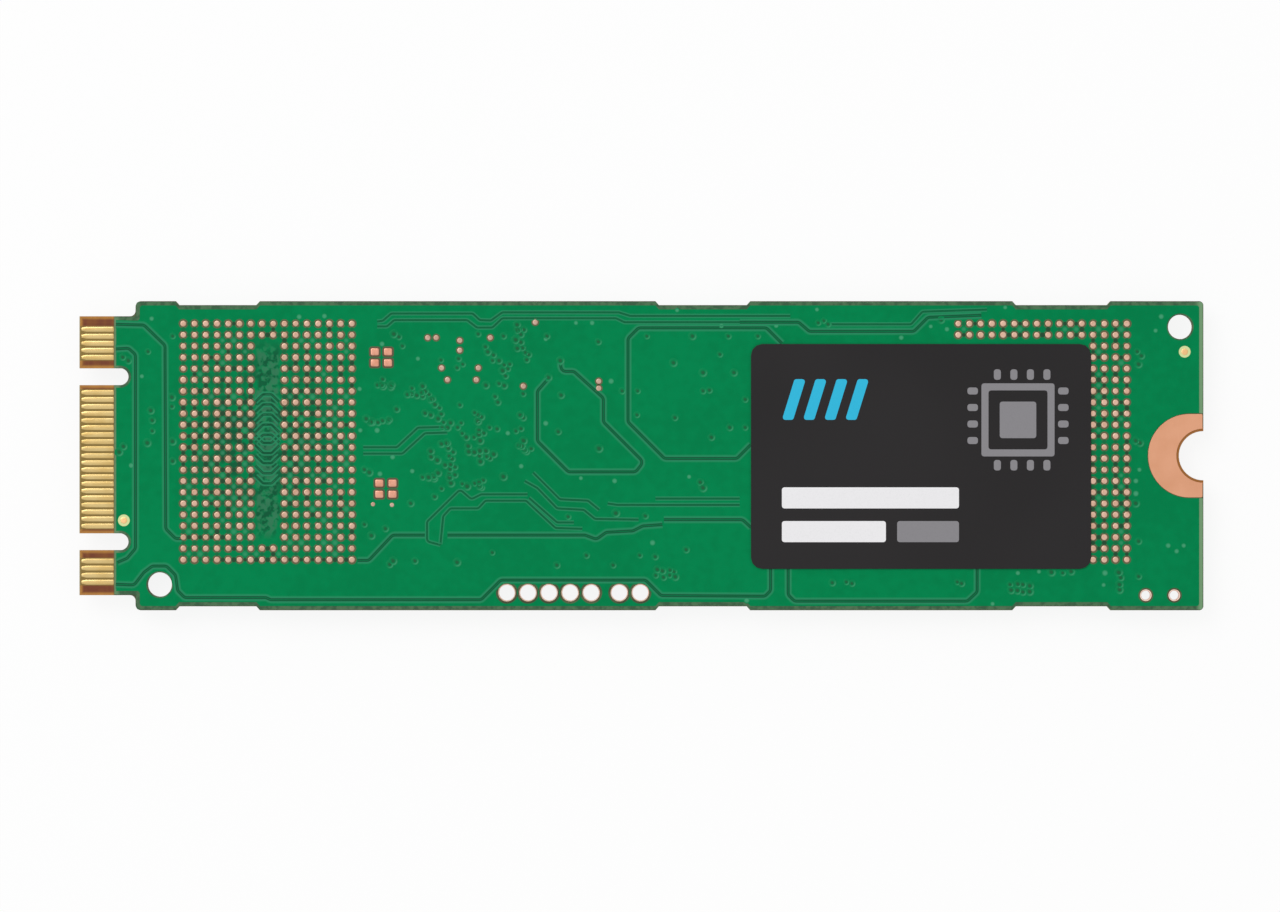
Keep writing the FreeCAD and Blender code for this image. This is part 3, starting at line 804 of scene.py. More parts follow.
olive_paint = Paint("olive_rim")
cloth = olive_paint.noise(CLOTH_SCALE)
rim_colour = olive_paint.blend(olive_paint.fade(cloth, start=0.35, end=0.65), RIM_DARK, RIM_OLIVE)
at_end = olive_paint.fade(olive_paint.axis("X"), *END_FADE) * END_PALE
at_tongue = (1 - olive_paint.fade(olive_paint.axis("X"), *TONGUE_FADE)) * TONGUE_PALE
rim_colour = olive_paint.blend(at_end + at_tongue, rim_colour, RIM_PALE)
olive_rim = olive_paint.finish(rim_colour, between(0.3, 0.45, cloth),
                               normal=olive_paint.bump(cloth, depth=0.003), specular=0.1)
MASK_SHEETS = (
    ("rim_face", RIM_SETBACK, FACE, FACE + RIM, olive_rim),
    ("mask_face", GREEN_SETBACK, FACE, FACE + MASK, green_mask),
    ("rim_back", RIM_SETBACK, BACK - RIM, BACK, olive_rim),
    ("mask_back", GREEN_SETBACK, BACK - MASK, BACK, green_mask),
)
for name, setback, low, high, finish in MASK_SHEETS:
    outlines = [mask_outline(setback), *hole_openings(setback)]
    enter(name, film(name, outlines, low, high, MASK_RIM), finish, "board_green", smooth=FLAT)

# %% [markdown]
# Copper lies under the mask, and where it is etched away to part one circuit from the next, the mask sinks
# into a fine groove: a dark line with pale shoulders. Each groove is a path on the card. Geometry Nodes
# round its corners and sweep a profile along it, with two shoulders and a dip. The profile carries how
# far across it a point is.

# %% Groove recipe
PROFILE_POINTS = 9
BEND_POINTS = 3
GROOVE_SINK = 0.001

grooves = Recipe("grooves", {"Width": "Float", "Shoulder height": "Float", "Corner radius": "Float"})
path = grooves.add("GeometryNodeMeshToCurve", None, {"Mesh": grooves.given("Geometry")})
path = grooves.add("GeometryNodeFilletCurve", {"mode": "POLY"}, {
    "Curve": path,
    "Count": BEND_POINTS,
    "Radius": grooves.given("Corner radius"),
    "Limit Radius": True,
})
path = grooves.add("GeometryNodeSetCurveNormal", {"mode": "Z_UP"}, {"Curve": path})
half_wide = grooves.given("Width") * 0.5
profile = grooves.add("GeometryNodeCurvePrimitiveLine", None, {
    "Start": grooves.point(X=half_wide * -1),
    "End": grooves.point(X=half_wide),
})
profile = grooves.add("GeometryNodeResampleCurve", None, {"Curve": profile, "Count": PROFILE_POINTS})
across = abs(grooves.add("GeometryNodeSplineParameter", out="Factor") * 2 - 1)
ridge = 1 - abs(across * 2 - 1)
lift = ridge * grooves.given("Shoulder height") * -1 + GROOVE_SINK
lifted = {"Geometry": profile, "Offset": grooves.point(Y=lift)}
profile = grooves.add("GeometryNodeSetPosition", None, lifted)
profile = grooves.add("GeometryNodeStoreNamedAttribute", {"data_type": "FLOAT"}, {
    "Geometry": profile,
    "Name": "across",
    "Value": across,
})
profile = grooves.add("GeometryNodeSetSplineCyclic", None, {"Geometry": profile, "Cyclic": True})
swept = grooves.add("GeometryNodeCurveToMesh", None, {
    "Curve": path,
    "Profile Curve": profile,
    "Fill Caps": True,
})
grooves.finish(swept)
print("groove profile of", PROFILE_POINTS, "points")

# %% [markdown]
# The groove's finish reads how far across a point is. The bottom is dark and the shoulders are pale: a
# painted highlight where the edge of the copper catches the light, on lacquer that is thin over that edge.
# Outside the shoulders the mask's own green takes over.

# %% Groove finish
GROOVE_DARK = srgb(20, 86, 56)
GROOVE_HIGHLIGHT = srgb(42, 142, 98)

groove_paint = Paint("mask_groove")
how_far = groove_paint.attribute("across")
outside = groove_paint.fade(how_far, start=0.5, end=1.0)
# Painted highlight: the shoulders are pale where the copper's edge catches the light. The lacquer is thin
# there too.
shoulder = groove_paint.blend(outside, GROOVE_HIGHLIGHT, mask_colour(groove_paint))
groove_colour = groove_paint.blend(groove_paint.fade(how_far, start=0.2, end=0.5), GROOVE_DARK, shoulder)
groove_grain = groove_paint.noise(4000)
groove_finish = groove_paint.finish(groove_colour, between(0.28, 0.4, groove_grain), specular=0.05)


def paths_mesh(paths, z):
    """A mesh of edges along each path of (x, y) points."""
    corners = [(x, y, z) for path in paths for x, y in path]
    edges = []
    start = 0
    for path in paths:
        edges += [(start + i, start + i + 1) for i in range(len(path) - 1)]
        start += len(path)
    mesh = bpy.data.meshes.new("paths")
    mesh.from_pydata(corners, edges, [])
    return mesh


def enter_grooves(name, paths, sizes, side=FACE_UP):
    grown = grooves.grow(paths_mesh(paths, MASK), groove_finish, sizes)
    enter(name, grown, groove_finish, "board_green", side=side)


print("groove finish with", len(groove_paint.tree.nodes), "nodes")

# %% [markdown]
# The paths were read off an enlarged picture with a ruler along it, in card millimetres. Wide grooves part
# the large fields of copper. Fine ones run beside the tracks to the connector and between the chips.

# %% Grooves on the label side
WIDE_PATHS = [
    [(2.6, 7.6), (3.5, 7.65), (4.0, 7.2), (4.0, -6.6), (3.4, -7.3), (2.7, -7.6)],
    [(2.6, 9.35), (4.6, 9.3), (6.1, 7.85), (6.15, -5.2), (6.85, -5.9), (7.3, -5.9)],
    [(2.6, -9.15), (3.9, -9.2), (4.6, -8.3), (5.2, -7.85), (6.2, -7.85), (6.85, -8.5), (7.0, -9.6),
     (7.5, -10.1), (13.3, -10.1), (13.6, -10.25), (28.6, -10.25), (30.0, -8.85), (40.3, -8.85),
     (41.4, -9.95), (48.8, -10.0), (49.2, -9.6), (49.2, -7.9)],
    [(50.45, -7.9), (50.45, -9.9), (50.9, -10.35), (63.2, -10.35), (63.9, -9.7), (63.9, -7.9)],
    [(19.8, -7.45), (20.6, -7.45), (22.3, -5.65), (24.6, -5.65)],
    [(26.2, -5.65), (36.0, -5.65), (36.8, -5.95), (37.5, -5.45), (39.4, -5.35), (40.1, -5.0), (41.5, -4.9)],
    [(34.25, 6.6), (34.3, 6.0), (35.2, 6.0), (37.3, 4.1), (37.3, 2.4), (40.15, -0.45), (39.6, -1.15),
     (34.8, -1.15), (32.6, 1.05), (32.6, 4.6), (33.4, 5.5)],
    [(50.0, 8.0), (48.9, 9.1), (39.8, 9.1), (39.05, 8.35), (39.05, 2.4), (41.65, -0.2), (46.8, -0.2),
     (47.8, 0.8)],
    [(41.6, -4.55), (47.2, -4.55), (47.8, -5.1)],
    [(47.0, 9.5), (51.2, 9.5), (51.95, 8.85), (59.4, 8.85), (60.4, 9.85), (64.2, 10.0)],
]
FINE_PATHS = [
    [(25.7, -6.35), (24.75, -6.1), (24.75, -4.7), (27.1, -2.4), (27.9, -3.1), (28.6, -2.75), (31.9, -2.75)],
    [(25.7, -6.3), (25.9, -4.3), (26.4, -3.75), (28.4, -3.75), (28.9, -3.2), (31.8, -3.2),
     (33.9, -5.15), (35.8, -5.2)],
    [(32.3, -1.2), (34.2, -3.1), (36.2, -3.2), (37.0, -3.85)],
    [(31.7, -1.8), (32.6, -2.3), (34.0, -3.75), (35.9, -3.85), (36.7, -4.5), (39.8, -4.55)],
    [(32.0, -3.0), (34.0, -4.75), (35.2, -4.75)],
    [(37.6, -3.4), (38.3, -3.5), (47.0, -3.5)],
    [(41.0, -3.05), (47.0, -3.05)],
    [(20.2, 0.6), (22.6, 0.6), (24.1, 2.0), (26.2, 2.05)],
    [(20.2, 0.15), (23.0, 0.15), (24.6, 1.6), (26.2, 1.65)],
    [(21.2, 9.55), (21.6, 9.6), (22.2, 10.12), (28.0, 10.12), (28.5, 9.65), (29.3, 9.62), (30.1, 10.2),
     (38.4, 10.2), (39.2, 9.95), (50.6, 9.95)],
    [(21.2, 9.2), (21.9, 9.2), (22.4, 9.65), (27.6, 9.65), (28.3, 9.12), (29.4, 9.12), (30.1, 9.78),
     (38.2, 9.78), (38.8, 9.5), (47.0, 9.5)],
    [(53.4, 9.35), (59.2, 9.35), (60.0, 10.25), (64.6, 10.4)],
]
WIDE_GROOVE = {"Width": 0.62, "Shoulder height": 0.008, "Corner radius": 0.35}
FINE_GROOVE = {"Width": 0.38, "Shoulder height": 0.007, "Corner radius": 0.25}
enter_grooves("grooves_wide", WIDE_PATHS, WIDE_GROOVE)
enter_grooves("grooves_fine", FINE_PATHS, FINE_GROOVE)

# %% [markdown]
# Under the first empty site the tracks leave between the lands. In the bare strip down its middle they
# show as nested chevrons, which point away from the middle both ways.

# %% Tracks under the first site
CHEVRON_MIDDLE = Vector((13.38, 1.2))
CHEVRON_START = 0.35
CHEVRON_STEP = 0.72
CHEVRON_COUNT = 5
CHEVRON_WING = ((-0.85, -0.6), (-0.3, -0.06), (0.3, -0.06), (0.85, -0.6))
CHEVRON_GROOVE = {"Width": 0.5, "Shoulder height": 0.008, "Corner radius": 0.2}


def chevrons():
    """Nested chevrons in the bare strip, pointing up above its middle and down below it."""
    paths = []
    for step in range(CHEVRON_COUNT):
        tip = CHEVRON_START + CHEVRON_STEP * step
        for way in (-1, 1):
            paths.append([CHEVRON_MIDDLE + Vector((x, way * (tip + y))) for x, y in CHEVRON_WING])
    return paths


enter_grooves("grooves_chevrons", chevrons(), CHEVRON_GROOVE)

# %% [markdown]
# A via is a tiny plated hole that takes a track from one layer to another. Under the mask it is a pale dot
# or, where the mask sank into the hole, a dark middle in a ring. The ring is painted paler on its lower
# right, a painted highlight where light from the upper left would fall on the far wall of the hole. Each is
# a low mound of loops, from its rim to its middle. A level on each loop tells the finish how pale or dark
# the mask is there, from 1 down to -1.

# %% Via shapes
VIA_PALE = srgb(72, 162, 119)
VIA_DARK = srgb(42, 78, 54)
VIA_SIDES = 12
MOUND_HEIGHTS = (-0.004, 0.0005, 0.006, 0.004)
RING_LOOP = 2

via_paint = Paint("mask_over_via")
via_level = via_paint.attribute("level")
is_pale = via_paint.fade(via_level, start=0.0, end=1.0)
is_dark = via_paint.fade(via_level * -1, start=0.0, end=1.0)
via_colour = via_paint.blend(is_dark, mask_colour(via_paint), VIA_DARK)
via_colour = via_paint.blend(is_pale, via_colour, VIA_PALE)
via_finish = via_paint.finish(via_colour, between(0.28, 0.38, via_paint.noise(6000)), specular=0.05)


def via(radii, levels, painted_highlight=0.0):
    """A low mound with a radius and a level for each loop from the rim in, and a painted highlight on the
    lower right of its ring.
    """
    mesh = skin("via", [circle(radius, z, VIA_SIDES) for radius, z in zip(radii, MOUND_HEIGHTS)], levels)
    # Painted highlight: the ring's level rises toward the lower right, as if the lamp on the upper left lit
    # the far wall of the hole.
    for i in range(RING_LOOP * VIA_SIDES, (RING_LOOP + 1) * VIA_SIDES):
        point = mesh.vertices[i].co
        mesh.attributes["level"].data[i].value += painted_highlight * (point.x - point.y) / radii[RING_LOOP]
    return mesh


# The sunk via's ring carries that painted highlight on its lower right.
SUNK_VIA = via((0.33, 0.32, 0.2, 0.09), (0, 0.05, 0.25, -0.6), painted_highlight=0.35)
PALE_VIA = via((0.21, 0.2, 0.12, 0.05), (0, 0.1, 0.65, 0.85))
print("a via has", len(PALE_VIA.polygons), "faces")

# %% [markdown]
# The scatter recipe sets a via on each place, in slightly different sizes. Some stand alone, some in rows,
# and some in loose chains, where most have a companion. Every draw comes from dice with a fixed seed, so
# that each run gives the same card.

# %% Vias on the label side
DOT_PLACES = [
    (5.15, 9.75), (4.45, 5.65), (3.7, -0.7), (42.55, 10.35), (45.7, 9.25), (49.6, 9.25), (52.5, 10.4),
    (58.5, 8.4), (60.6, 9.2), (61.75, 9.0), (65.9, 10.55), (35.35, 9.45), (36.5, 9.45),
    (37.85, 5.3), (76.6, 8.9), (75.45, -1.0), (75.2, -1.8), (75.2, -2.7), (77.5, -6.4), (78.1, -6.8),
    (73.0, -8.35), (72.9, -9.2), (47.5, -10.3), (66.8, -8.35), (65.0, -10.55), (68.3, -8.25),
    (20.0, 1.8), (21.2, 1.8), (24.1, 6.9), (22.3, -0.1), (21.4, -1.3), (23.7, -1.1), (38.1, -1.8),
    (35.7, -1.6), (43.4, -1.5), (33.2, 8.3), (33.2, 2.3), (30.5, 1.6), (19.95, 4.75), (21.55, 7.95),
    (31.45, -0.75), (28.45, 2.35), (40.8, -6.2), (77.0, 9.9), (78.6, -6.4), (15.65, 9.88), (17.45, 9.93),
]
RING_PLACES = [
    (4.9, 7.4), (5.1, 3.2), (5.2, 2.5), (5.2, 1.75), (4.85, 0.9), (3.15, 0.65), (2.85, 0.25), (6.65, 8.5),
    (6.6, 4.15), (6.6, 3.5), (6.65, 1.0), (6.65, -0.4), (3.1, 7.0), (3.5, 6.75),
    (22.4, 8.65), (22.75, 8.45), (23.0, 7.8), (22.6, 3.3), (27.0, 6.9), (27.3, 6.5), (26.9, 6.25),
    (25.75, 6.8), (28.4, 8.65), (30.2, 8.5), (33.3, 8.5), (28.95, 5.0), (29.6, 4.2), (29.8, 3.8),
    (27.1, 3.6), (28.4, 2.9), (29.2, 2.0), (29.75, 1.9), (28.1, 1.3), (28.45, 1.5), (31.6, 2.7),
    (31.6, 4.4), (20.3, -1.0), (20.65, -1.2), (20.3, -4.9), (20.8, -5.7), (21.8, -5.2), (22.1, -7.75),
    (22.35, -7.5), (23.9, -7.5), (31.3, 0.7), (31.7, 0.4), (30.2, -1.5), (36.95, 8.1), (34.25, 6.75),
    (33.4, 5.55), (34.3, 4.3), (34.1, 1.7), (38.65, 4.6), (39.75, 4.6), (39.7, 2.9), (40.4, 8.5),
    (43.65, 8.5), (46.2, 8.5), (48.3, 8.5), (45.6, 7.2), (42.3, 6.6), (44.4, 5.9), (46.6, 5.9),
    (44.4, 4.6), (44.85, 4.65), (42.4, 2.7), (46.3, 2.0), (47.4, 2.0), (45.0, 1.3), (47.4, 4.0),
    (37.0, 0.5), (44.4, -2.3), (44.2, -1.9), (34.8, -4.35), (38.2, -4.1), (40.3, -4.3), (36.1, -7.1),
    (39.9, -7.1), (41.0, -7.2), (43.2, -6.7), (34.0, -7.8), (38.0, -7.8), (53.6, -9.05), (54.6, -9.0),
    (55.0, -9.1), (62.5, -9.0), (62.8, -9.1), (52.6, 9.45), (53.0, 9.6), (53.3, 9.35), (75.3, 7.4),
    (61.35, 9.65),
    (75.6, 7.1), (75.4, 6.5), (75.2, 1.05), (75.5, 0.9), (75.2, -3.4), (75.4, -6.1), (75.4, -8.6),
    (69.2, -8.3), (70.0, -8.35), (70.6, -8.25), (23.6, -3.4), (29.4, -6.9), (26.9, -7.6),
]
CHAINS = [
    ((23.3, 4.3), (24.1, 4.3), 3), ((24.4, 5.0), (25.35, 3.6), 5), ((24.6, 3.0), (25.9, 2.45), 4),
    ((26.4, 2.3), (27.3, 1.6), 3), ((21.2, 5.1), (22.2, 5.1), 4), ((20.8, 2.4), (22.0, 2.5), 4),
    ((31.1, 9.35), (31.9, 6.9), 7), ((29.1, 7.4), (30.6, 6.1), 5), ((30.3, 5.6), (30.2, 5.0), 2),
    ((25.8, 0.9), (26.7, 0.3), 3), ((26.6, -0.2), (26.3, -1.6), 5), ((24.5, -1.5), (25.3, -1.55), 3),
    ((25.7, -2.35), (25.3, -2.85), 2), ((27.8, 0.3), (29.3, -0.2), 5), ((27.7, -2.2), (28.8, -1.7), 4),
    ((25.0, -0.1), (25.45, -0.3), 2), ((28.2, 3.0), (28.5, 1.1), 4), ((31.4, 2.9), (31.8, 0.2), 4),
]
ROWS = [
    ((74.0, -8.4), (74.1, -9.5), 4), ((66.3, -9.2), (67.6, -9.2), 4), ((66.3, -9.65), (67.6, -9.65), 4),
    ((41.1, -8.2), (42.4, -8.2), 4), ((41.1, -8.6), (42.4, -8.6), 4),
]
CHAIN_JITTER = 0.09
COMPANION_CHANCE = 0.7
COMPANION_REACH = 0.4
VIA_SIZES = (0.8, 1.15)
dice = random.Random(7)


def along(chains):
    """Places along each chain, a little off its line."""
    places = []
    for start, end, count in chains:
        for step in range(count):
            on_line = Vector(start).lerp(Vector(end), step / (count - 1))
            jitter = Vector((dice.uniform(-1, 1), dice.uniform(-1, 1))) * CHAIN_JITTER
            places.append(on_line + jitter)
    return places


def companions(places):
    """A second place beside most of the places, on any side."""
    chosen = [place for place in places if dice.random() < COMPANION_CHANCE]
    turns = [dice.uniform(0, 2 * math.pi) for _ in chosen]
    return [place + COMPANION_REACH * Vector((math.cos(t), math.sin(t))) for place, t in zip(chosen, turns)]


def enter_vias(name, shape, places, side=FACE_UP):
    on_mask = [(place[0], place[1], MASK) for place in places]
    sizes = [dice.uniform(*VIA_SIZES) for _ in places]
    enter_each(name, shape, on_mask, via_finish, "board_green", side=side, sizes=sizes)


enter_vias("vias_pale", PALE_VIA, DOT_PLACES)
chain_places = along(CHAINS)
enter_vias("vias_sunk", SUNK_VIA, RING_PLACES + along(ROWS) + chain_places + companions(chain_places))

# %% [markdown]
# In the empty sites a faint via lies in many of the cells between four lands. Most gaps between two lands
# are painted dim or dark, as painted shade between the lands. A gap is dark most often round the middle of
# the first site, and always where a groove runs on along a row or a column of lands, where the darker mask
# is real. Mounds with low levels make these too.

# %% Between the lands
SITES = ("site_lands_connector_end", "site_lands_screw_end")
SITE_PITCH = 0.8
FAINT_VIA = via((0.25, 0.24, 0.15, 0.06), (0, 0.05, 0.35, 0.5))
# The dim gap is painted shade between two lands. The dark gap is painted shade as well, and real darker mask
# where a groove runs along the lands.
DARK_GAP = via((0.18, 0.175, 0.13, 0.06), (-0.2, -0.45, -0.85, -1))
SHADED_GAP = via((0.18, 0.175, 0.13, 0.06), (-0.1, -0.25, -0.4, -0.5))
FAINT_CHANCE = 0.4
DARK_CHANCE = 0.08
DARK_CHANCE_MIDDLE = 0.65
SECOND_SITE_FROM = 60.0
DARK_CHANCE_SECOND_SITE = 0.35
SHADE_CHANCE = 0.85
DARK_LINES = (((10.0, -7.5), (20.0, -7.3)), ((7.0, -5.9), (10.4, -5.7)), ((16.0, 6.5), (20.0, 6.7)),
              ((16.5, 0.5), (16.7, 6.3)), ((10.1, -2.7), (10.3, 3.9)))


def between_lands(*ways):
    """The middle between each land and its neighbours in those ways, where it has them all."""
    middles = []
    for node in SITES:
        places = places_of(node)
        taken = {(round(place.x, 1), round(place.y, 1)) for place in places}
        for place in places:
            neighbours = [place + SITE_PITCH * Vector(way) for way in ways]
            if all((round(other.x, 1), round(other.y, 1)) in taken for other in neighbours):
                middles.append((place + neighbours[-1]) / 2)
    return middles


def dark_chance(gap):
    """How likely the mask is dark in a gap, which is certain where a groove runs along the lands."""
    if any(low[0] < gap.x < high[0] and low[1] < gap.y < high[1] for low, high in DARK_LINES):
        return 1.0
    if gap.x > SECOND_SITE_FROM:
        return DARK_CHANCE_SECOND_SITE
    near = 1 - min(1.0, (gap - Vector(PATCH_CENTRE)).length / PATCH_REACH)
    return DARK_CHANCE + DARK_CHANCE_MIDDLE * near


# Painted shade: nearly every gap between two lands gets a dim or dark mound.
dark_gaps, shaded_gaps = [], []
for gap in between_lands((1, 0)) + between_lands((0, -1)):
    throw = dice.random()
    if throw < dark_chance(gap):
        dark_gaps.append(gap)
    elif throw < SHADE_CHANCE:
        shaded_gaps.append(gap)
faint_cells = [cell for cell in between_lands((1, 0), (0, -1), (1, -1)) if dice.random() < FAINT_CHANCE]
enter_vias("vias_faint", FAINT_VIA, faint_cells)
enter_vias("gaps_dark", DARK_GAP, dark_gaps)
enter_vias("gaps_dim", SHADED_GAP, shaded_gaps)

# %% [markdown]
# The component side has its own grooves and vias, laid out here in the way such cards have them: a border
# round each supply area, bundles of fine lines between the controller and its memories, and vias in the
# free strips beside the packages. The same recipes make them. That side is turned over about the card's
# long axis, so y changes its sign.

# %% Grooves and vias on the component side
BACK_BORDERS = [
    [(2.6, 6.9), (5.3, 6.9), (5.9, 6.3), (5.9, -7.4), (7.2, -8.9), (21.2, -8.9), (22.2, -9.9), (28.4, -9.9),
     (29.6, -8.7), (41.0, -8.7), (42.2, -9.9), (74.0, -9.9)],
    [(6.9, 10.4), (20.9, 10.4), (22.1, 9.2), (35.5, 9.2), (36.6, 8.1), (36.6, -5.6), (37.8, -6.8),
     (44.8, -6.8), (46.2, -5.4), (46.2, 8.8), (47.4, 10.0), (60.2, 10.0), (60.6, 10.4), (75.2, 10.4),
     (76.3, 9.3), (76.3, 4.2)],
    [(76.3, -4.2), (76.3, -7.6)],
]
BACK_BUNDLES = ((20.2, 22.8, 5.6, 12, 0.6), (34.4, 36.0, 4.8, 8, 0.7), (46.8, 48.6, 4.9, 9, 0.7),
                (59.1, 61.8, 5.2, 12, 0.6))
BACK_VIA_STRIPS = ((21.5, -7.5, 8.8, 15), (35.6, -7.6, 8.6, 14), (37.8, -5.8, 9.6, 13),
                   (45.0, -5.6, 9.8, 13), (47.3, -8.4, 9.2, 14), (60.5, -8.8, 9.4, 15),
                   (77.4, -7.9, -3.9, 5), (77.2, 4.1, 7.6, 4))
VIA_DRIFT = 0.22


def bundle_paths():
    """Parallel lines from one x to another, spaced down from a first y."""
    return [[(start, first - row * step), (end, first - row * step)]
            for start, end, first, rows, step in BACK_BUNDLES for row in range(rows)]


def strip_places():
    """Vias up a strip, spread evenly and then moved a little."""
    places = []
    for x, first, last, count in BACK_VIA_STRIPS:
        for step in range(count):
            y = between(first, last, step / (count - 1))
            places.append((x + dice.uniform(-1, 1) * VIA_DRIFT, y + dice.uniform(-1, 1) * VIA_DRIFT))
    return places


def turned_over(points):
    return [(x, -y) for x, y in points]


enter_grooves("back_borders", [turned_over(path) for path in BACK_BORDERS], WIDE_GROOVE, BACK_UP)
enter_grooves("back_bundles", [turned_over(path) for path in bundle_paths()], FINE_GROOVE, BACK_UP)
enter_vias("back_vias", SUNK_VIA, turned_over(strip_places()), BACK_UP)

# %% [markdown]
# The fingers are copper plated with nickel and gold, etched to shape, so their edges are rounded over and
# catch the light as two thin lines. One finger is a stack of loops: a tapered tip, a soft shoulder and a
# flat top. The scatter recipe sets it at each place that the frame gives. The gold has stains and a fine
# relief of wipe marks along the way the card slides in.

# %% Contact fingers
TIP_LENGTH = 0.35
TIP_WIDTH = 0.2
TIP_TAPER = 1.2
FINGER_CORNER = 0.05
FINGER_STEPS = 3
FINGER_STACK = ((0.0, 0.0), (0.0, 0.4), (0.03, 0.8), (0.075, 1.0))
GOLD = srgb(208, 184, 128)
GOLD_DEEP = srgb(187, 156, 93)
WIPE_SHOWN = 0.5
STAIN_SHOWN = 0.4

gold_paint = Paint("contact_gold")
wipe = gold_paint.fade(gold_paint.noise(9000, stretch=(0.04, 1.0, 1.0)), start=0.35, end=0.65)
stain = gold_paint.fade(gold_paint.noise(700), start=0.35, end=0.7)
contact_gold = gold_paint.finish(gold_paint.blend(wipe * WIPE_SHOWN + stain * STAIN_SHOWN, GOLD, GOLD_DEEP),
                                 between(0.26, 0.4, wipe), metallic=1.0,
                                 normal=gold_paint.bump(wipe, depth=0.001))


def finger_loop(length, width, tip_width, z):
    """A finger's outline, its tip at the lower end of x, centred on its middle."""
    back, neck = length / 2, TIP_LENGTH - length / 2
    upper = [(back, width / 2), (neck, width / 2), (-back, tip_width / 2)]
    corners = upper + [(x, -y) for x, y in reversed(upper)]
    return [(*point, z) for point in through([(*corner, FINGER_CORNER) for corner in corners], FINGER_STEPS)]


def finger(length, width):
    """A finger through its stack of insets and heights, which are shares of the copper's."""
    loops = []
    for inset, share in FINGER_STACK:
        tip_width = TIP_WIDTH - TIP_TAPER * inset
        loops.append(finger_loop(length - 2 * inset, width - 2 * inset, tip_width, share * COPPER))
    return skin("finger", loops)


for node, side in (("contact_fingers_upper", FACE_UP), ("contact_fingers_lower", BACK_UP)):
    span = span_of(node)
    places = [(side.inverted() @ middle(box)).to_2d() for box in solids_of(node)]
    enter_each(node.replace("contact_", "gold_"), finger(span.x, span.y), places, contact_gold, "gold", node,
               side=side)

# %% [markdown]
# Each empty site is a grid of round copper lands, where a package's balls would be soldered. The mask
# leaves a narrow dark ring of laminate round each one. Land and ring are one low mound, with a level of 0
# on the ring and 1 on the metal, and a single finish reads that level. The copper of the second site is a
# little paler. The frame's square solids only say where the lands are.

# %% Lands of the empty sites
LAND_SIDES = 12
RING_TOP = MASK + 0.0015
LAND_EDGE = ((0.004, 0.85), (0.025, 1.0))
LAND_SIZES = (0.95, 1.05)
SITE_LAND = {"radius": 0.205, "opening": 0.325}
OPENING_DARK = srgb(92, 92, 62)
SITE_COPPERS = {
    "site_lands_connector_end": (srgb(192, 159, 139), srgb(176, 141, 119)),
    "site_lands_screw_end": (srgb(207, 172, 151), srgb(190, 152, 129)),
}


def stacked(name, stack, loop):
    """A skin through a stack of sizes, heights and levels. The loop function draws a size at a height."""
    return skin(name, [loop(size, z) for size, z, _ in stack], [level for *_, level in stack])


def land(radius, opening, sides=LAND_SIDES):
    """A round land with its ring of bare laminate. Its edge has insets and shares of the copper's height."""
    stack = [(opening, 0.0, 0), (opening, RING_TOP, 0), (radius, RING_TOP, 0)]
    stack += [(radius - inset, share * COPPER, 1) for inset, share in LAND_EDGE]
    stack.append((radius / 2, COPPER, 1))
    return stacked("land", stack, lambda size, z: circle(size, z, sides))


def metal_in_opening(name, metal, deep, ring):
    """A metal land in a ring of another colour, told apart by level."""
    paint = Paint(name)
    is_metal = paint.fade(paint.attribute("level"), start=0.4, end=0.6)
    stain = paint.fade(paint.noise(2200), start=0.35, end=0.68)
    colour = paint.blend(is_metal, ring, paint.blend(stain, metal, deep))
    return paint.finish(colour, between(0.55, 0.37, is_metal) + stain * 0.1, is_metal, specular=0.3)


for node, (metal, deep) in SITE_COPPERS.items():
    bare_copper = metal_in_opening(node.replace("site_lands", "bare_copper"), metal, deep, OPENING_DARK)
    places = places_of(node)
    sizes = [dice.uniform(*LAND_SIZES) for _ in places]
    enter_each(node.replace("site_lands", "round_lands"), land(**SITE_LAND), places, bare_copper, "copper",
               node, side=FACE_UP, sizes=sizes)

# %% [markdown]
# The loose lands are made the same way: small round test points, and the square pads of capacitors that
# were never fitted. The two alignment marks are gold dots in a wide opening of pale bare laminate, which
# a machine's camera finds when it places the parts.

# %% Test lands, spare pads and alignment marks
TEST_LAND = {"radius": 0.19, "opening": 0.28}
SMALL_TEST_LANDS_BEFORE = 23.0
SMALL_TEST_LAND = 0.8
MARK_LAND = {"radius": 0.24, "opening": 0.42, "sides": 24}
MARK_RING = srgb(216, 228, 162)
PAD_RING = srgb(88, 78, 56)
PAD_SHRINK = 0.05
PAD_CORNER = 0.1
CORNER_GROWTH = 0.8
PAD_STACK = ((0.13, 0.0, 0), (0.13, RING_TOP, 0), (0.0, RING_TOP, 0), (-0.005, MASK + 0.004, 1),
             (-0.03, 0.9 * COPPER, 1), (-0.08, COPPER, 1))


def pad_outline(grow, z):
    """The outline of a spare pad, grown by a length on every side."""
    length, width, _ = span_of("spare_capacitor_pads")
    wider = 2 * grow - PAD_SHRINK
    return pad_loop(length + wider, width + wider, PAD_CORNER + grow * CORNER_GROWTH, z)


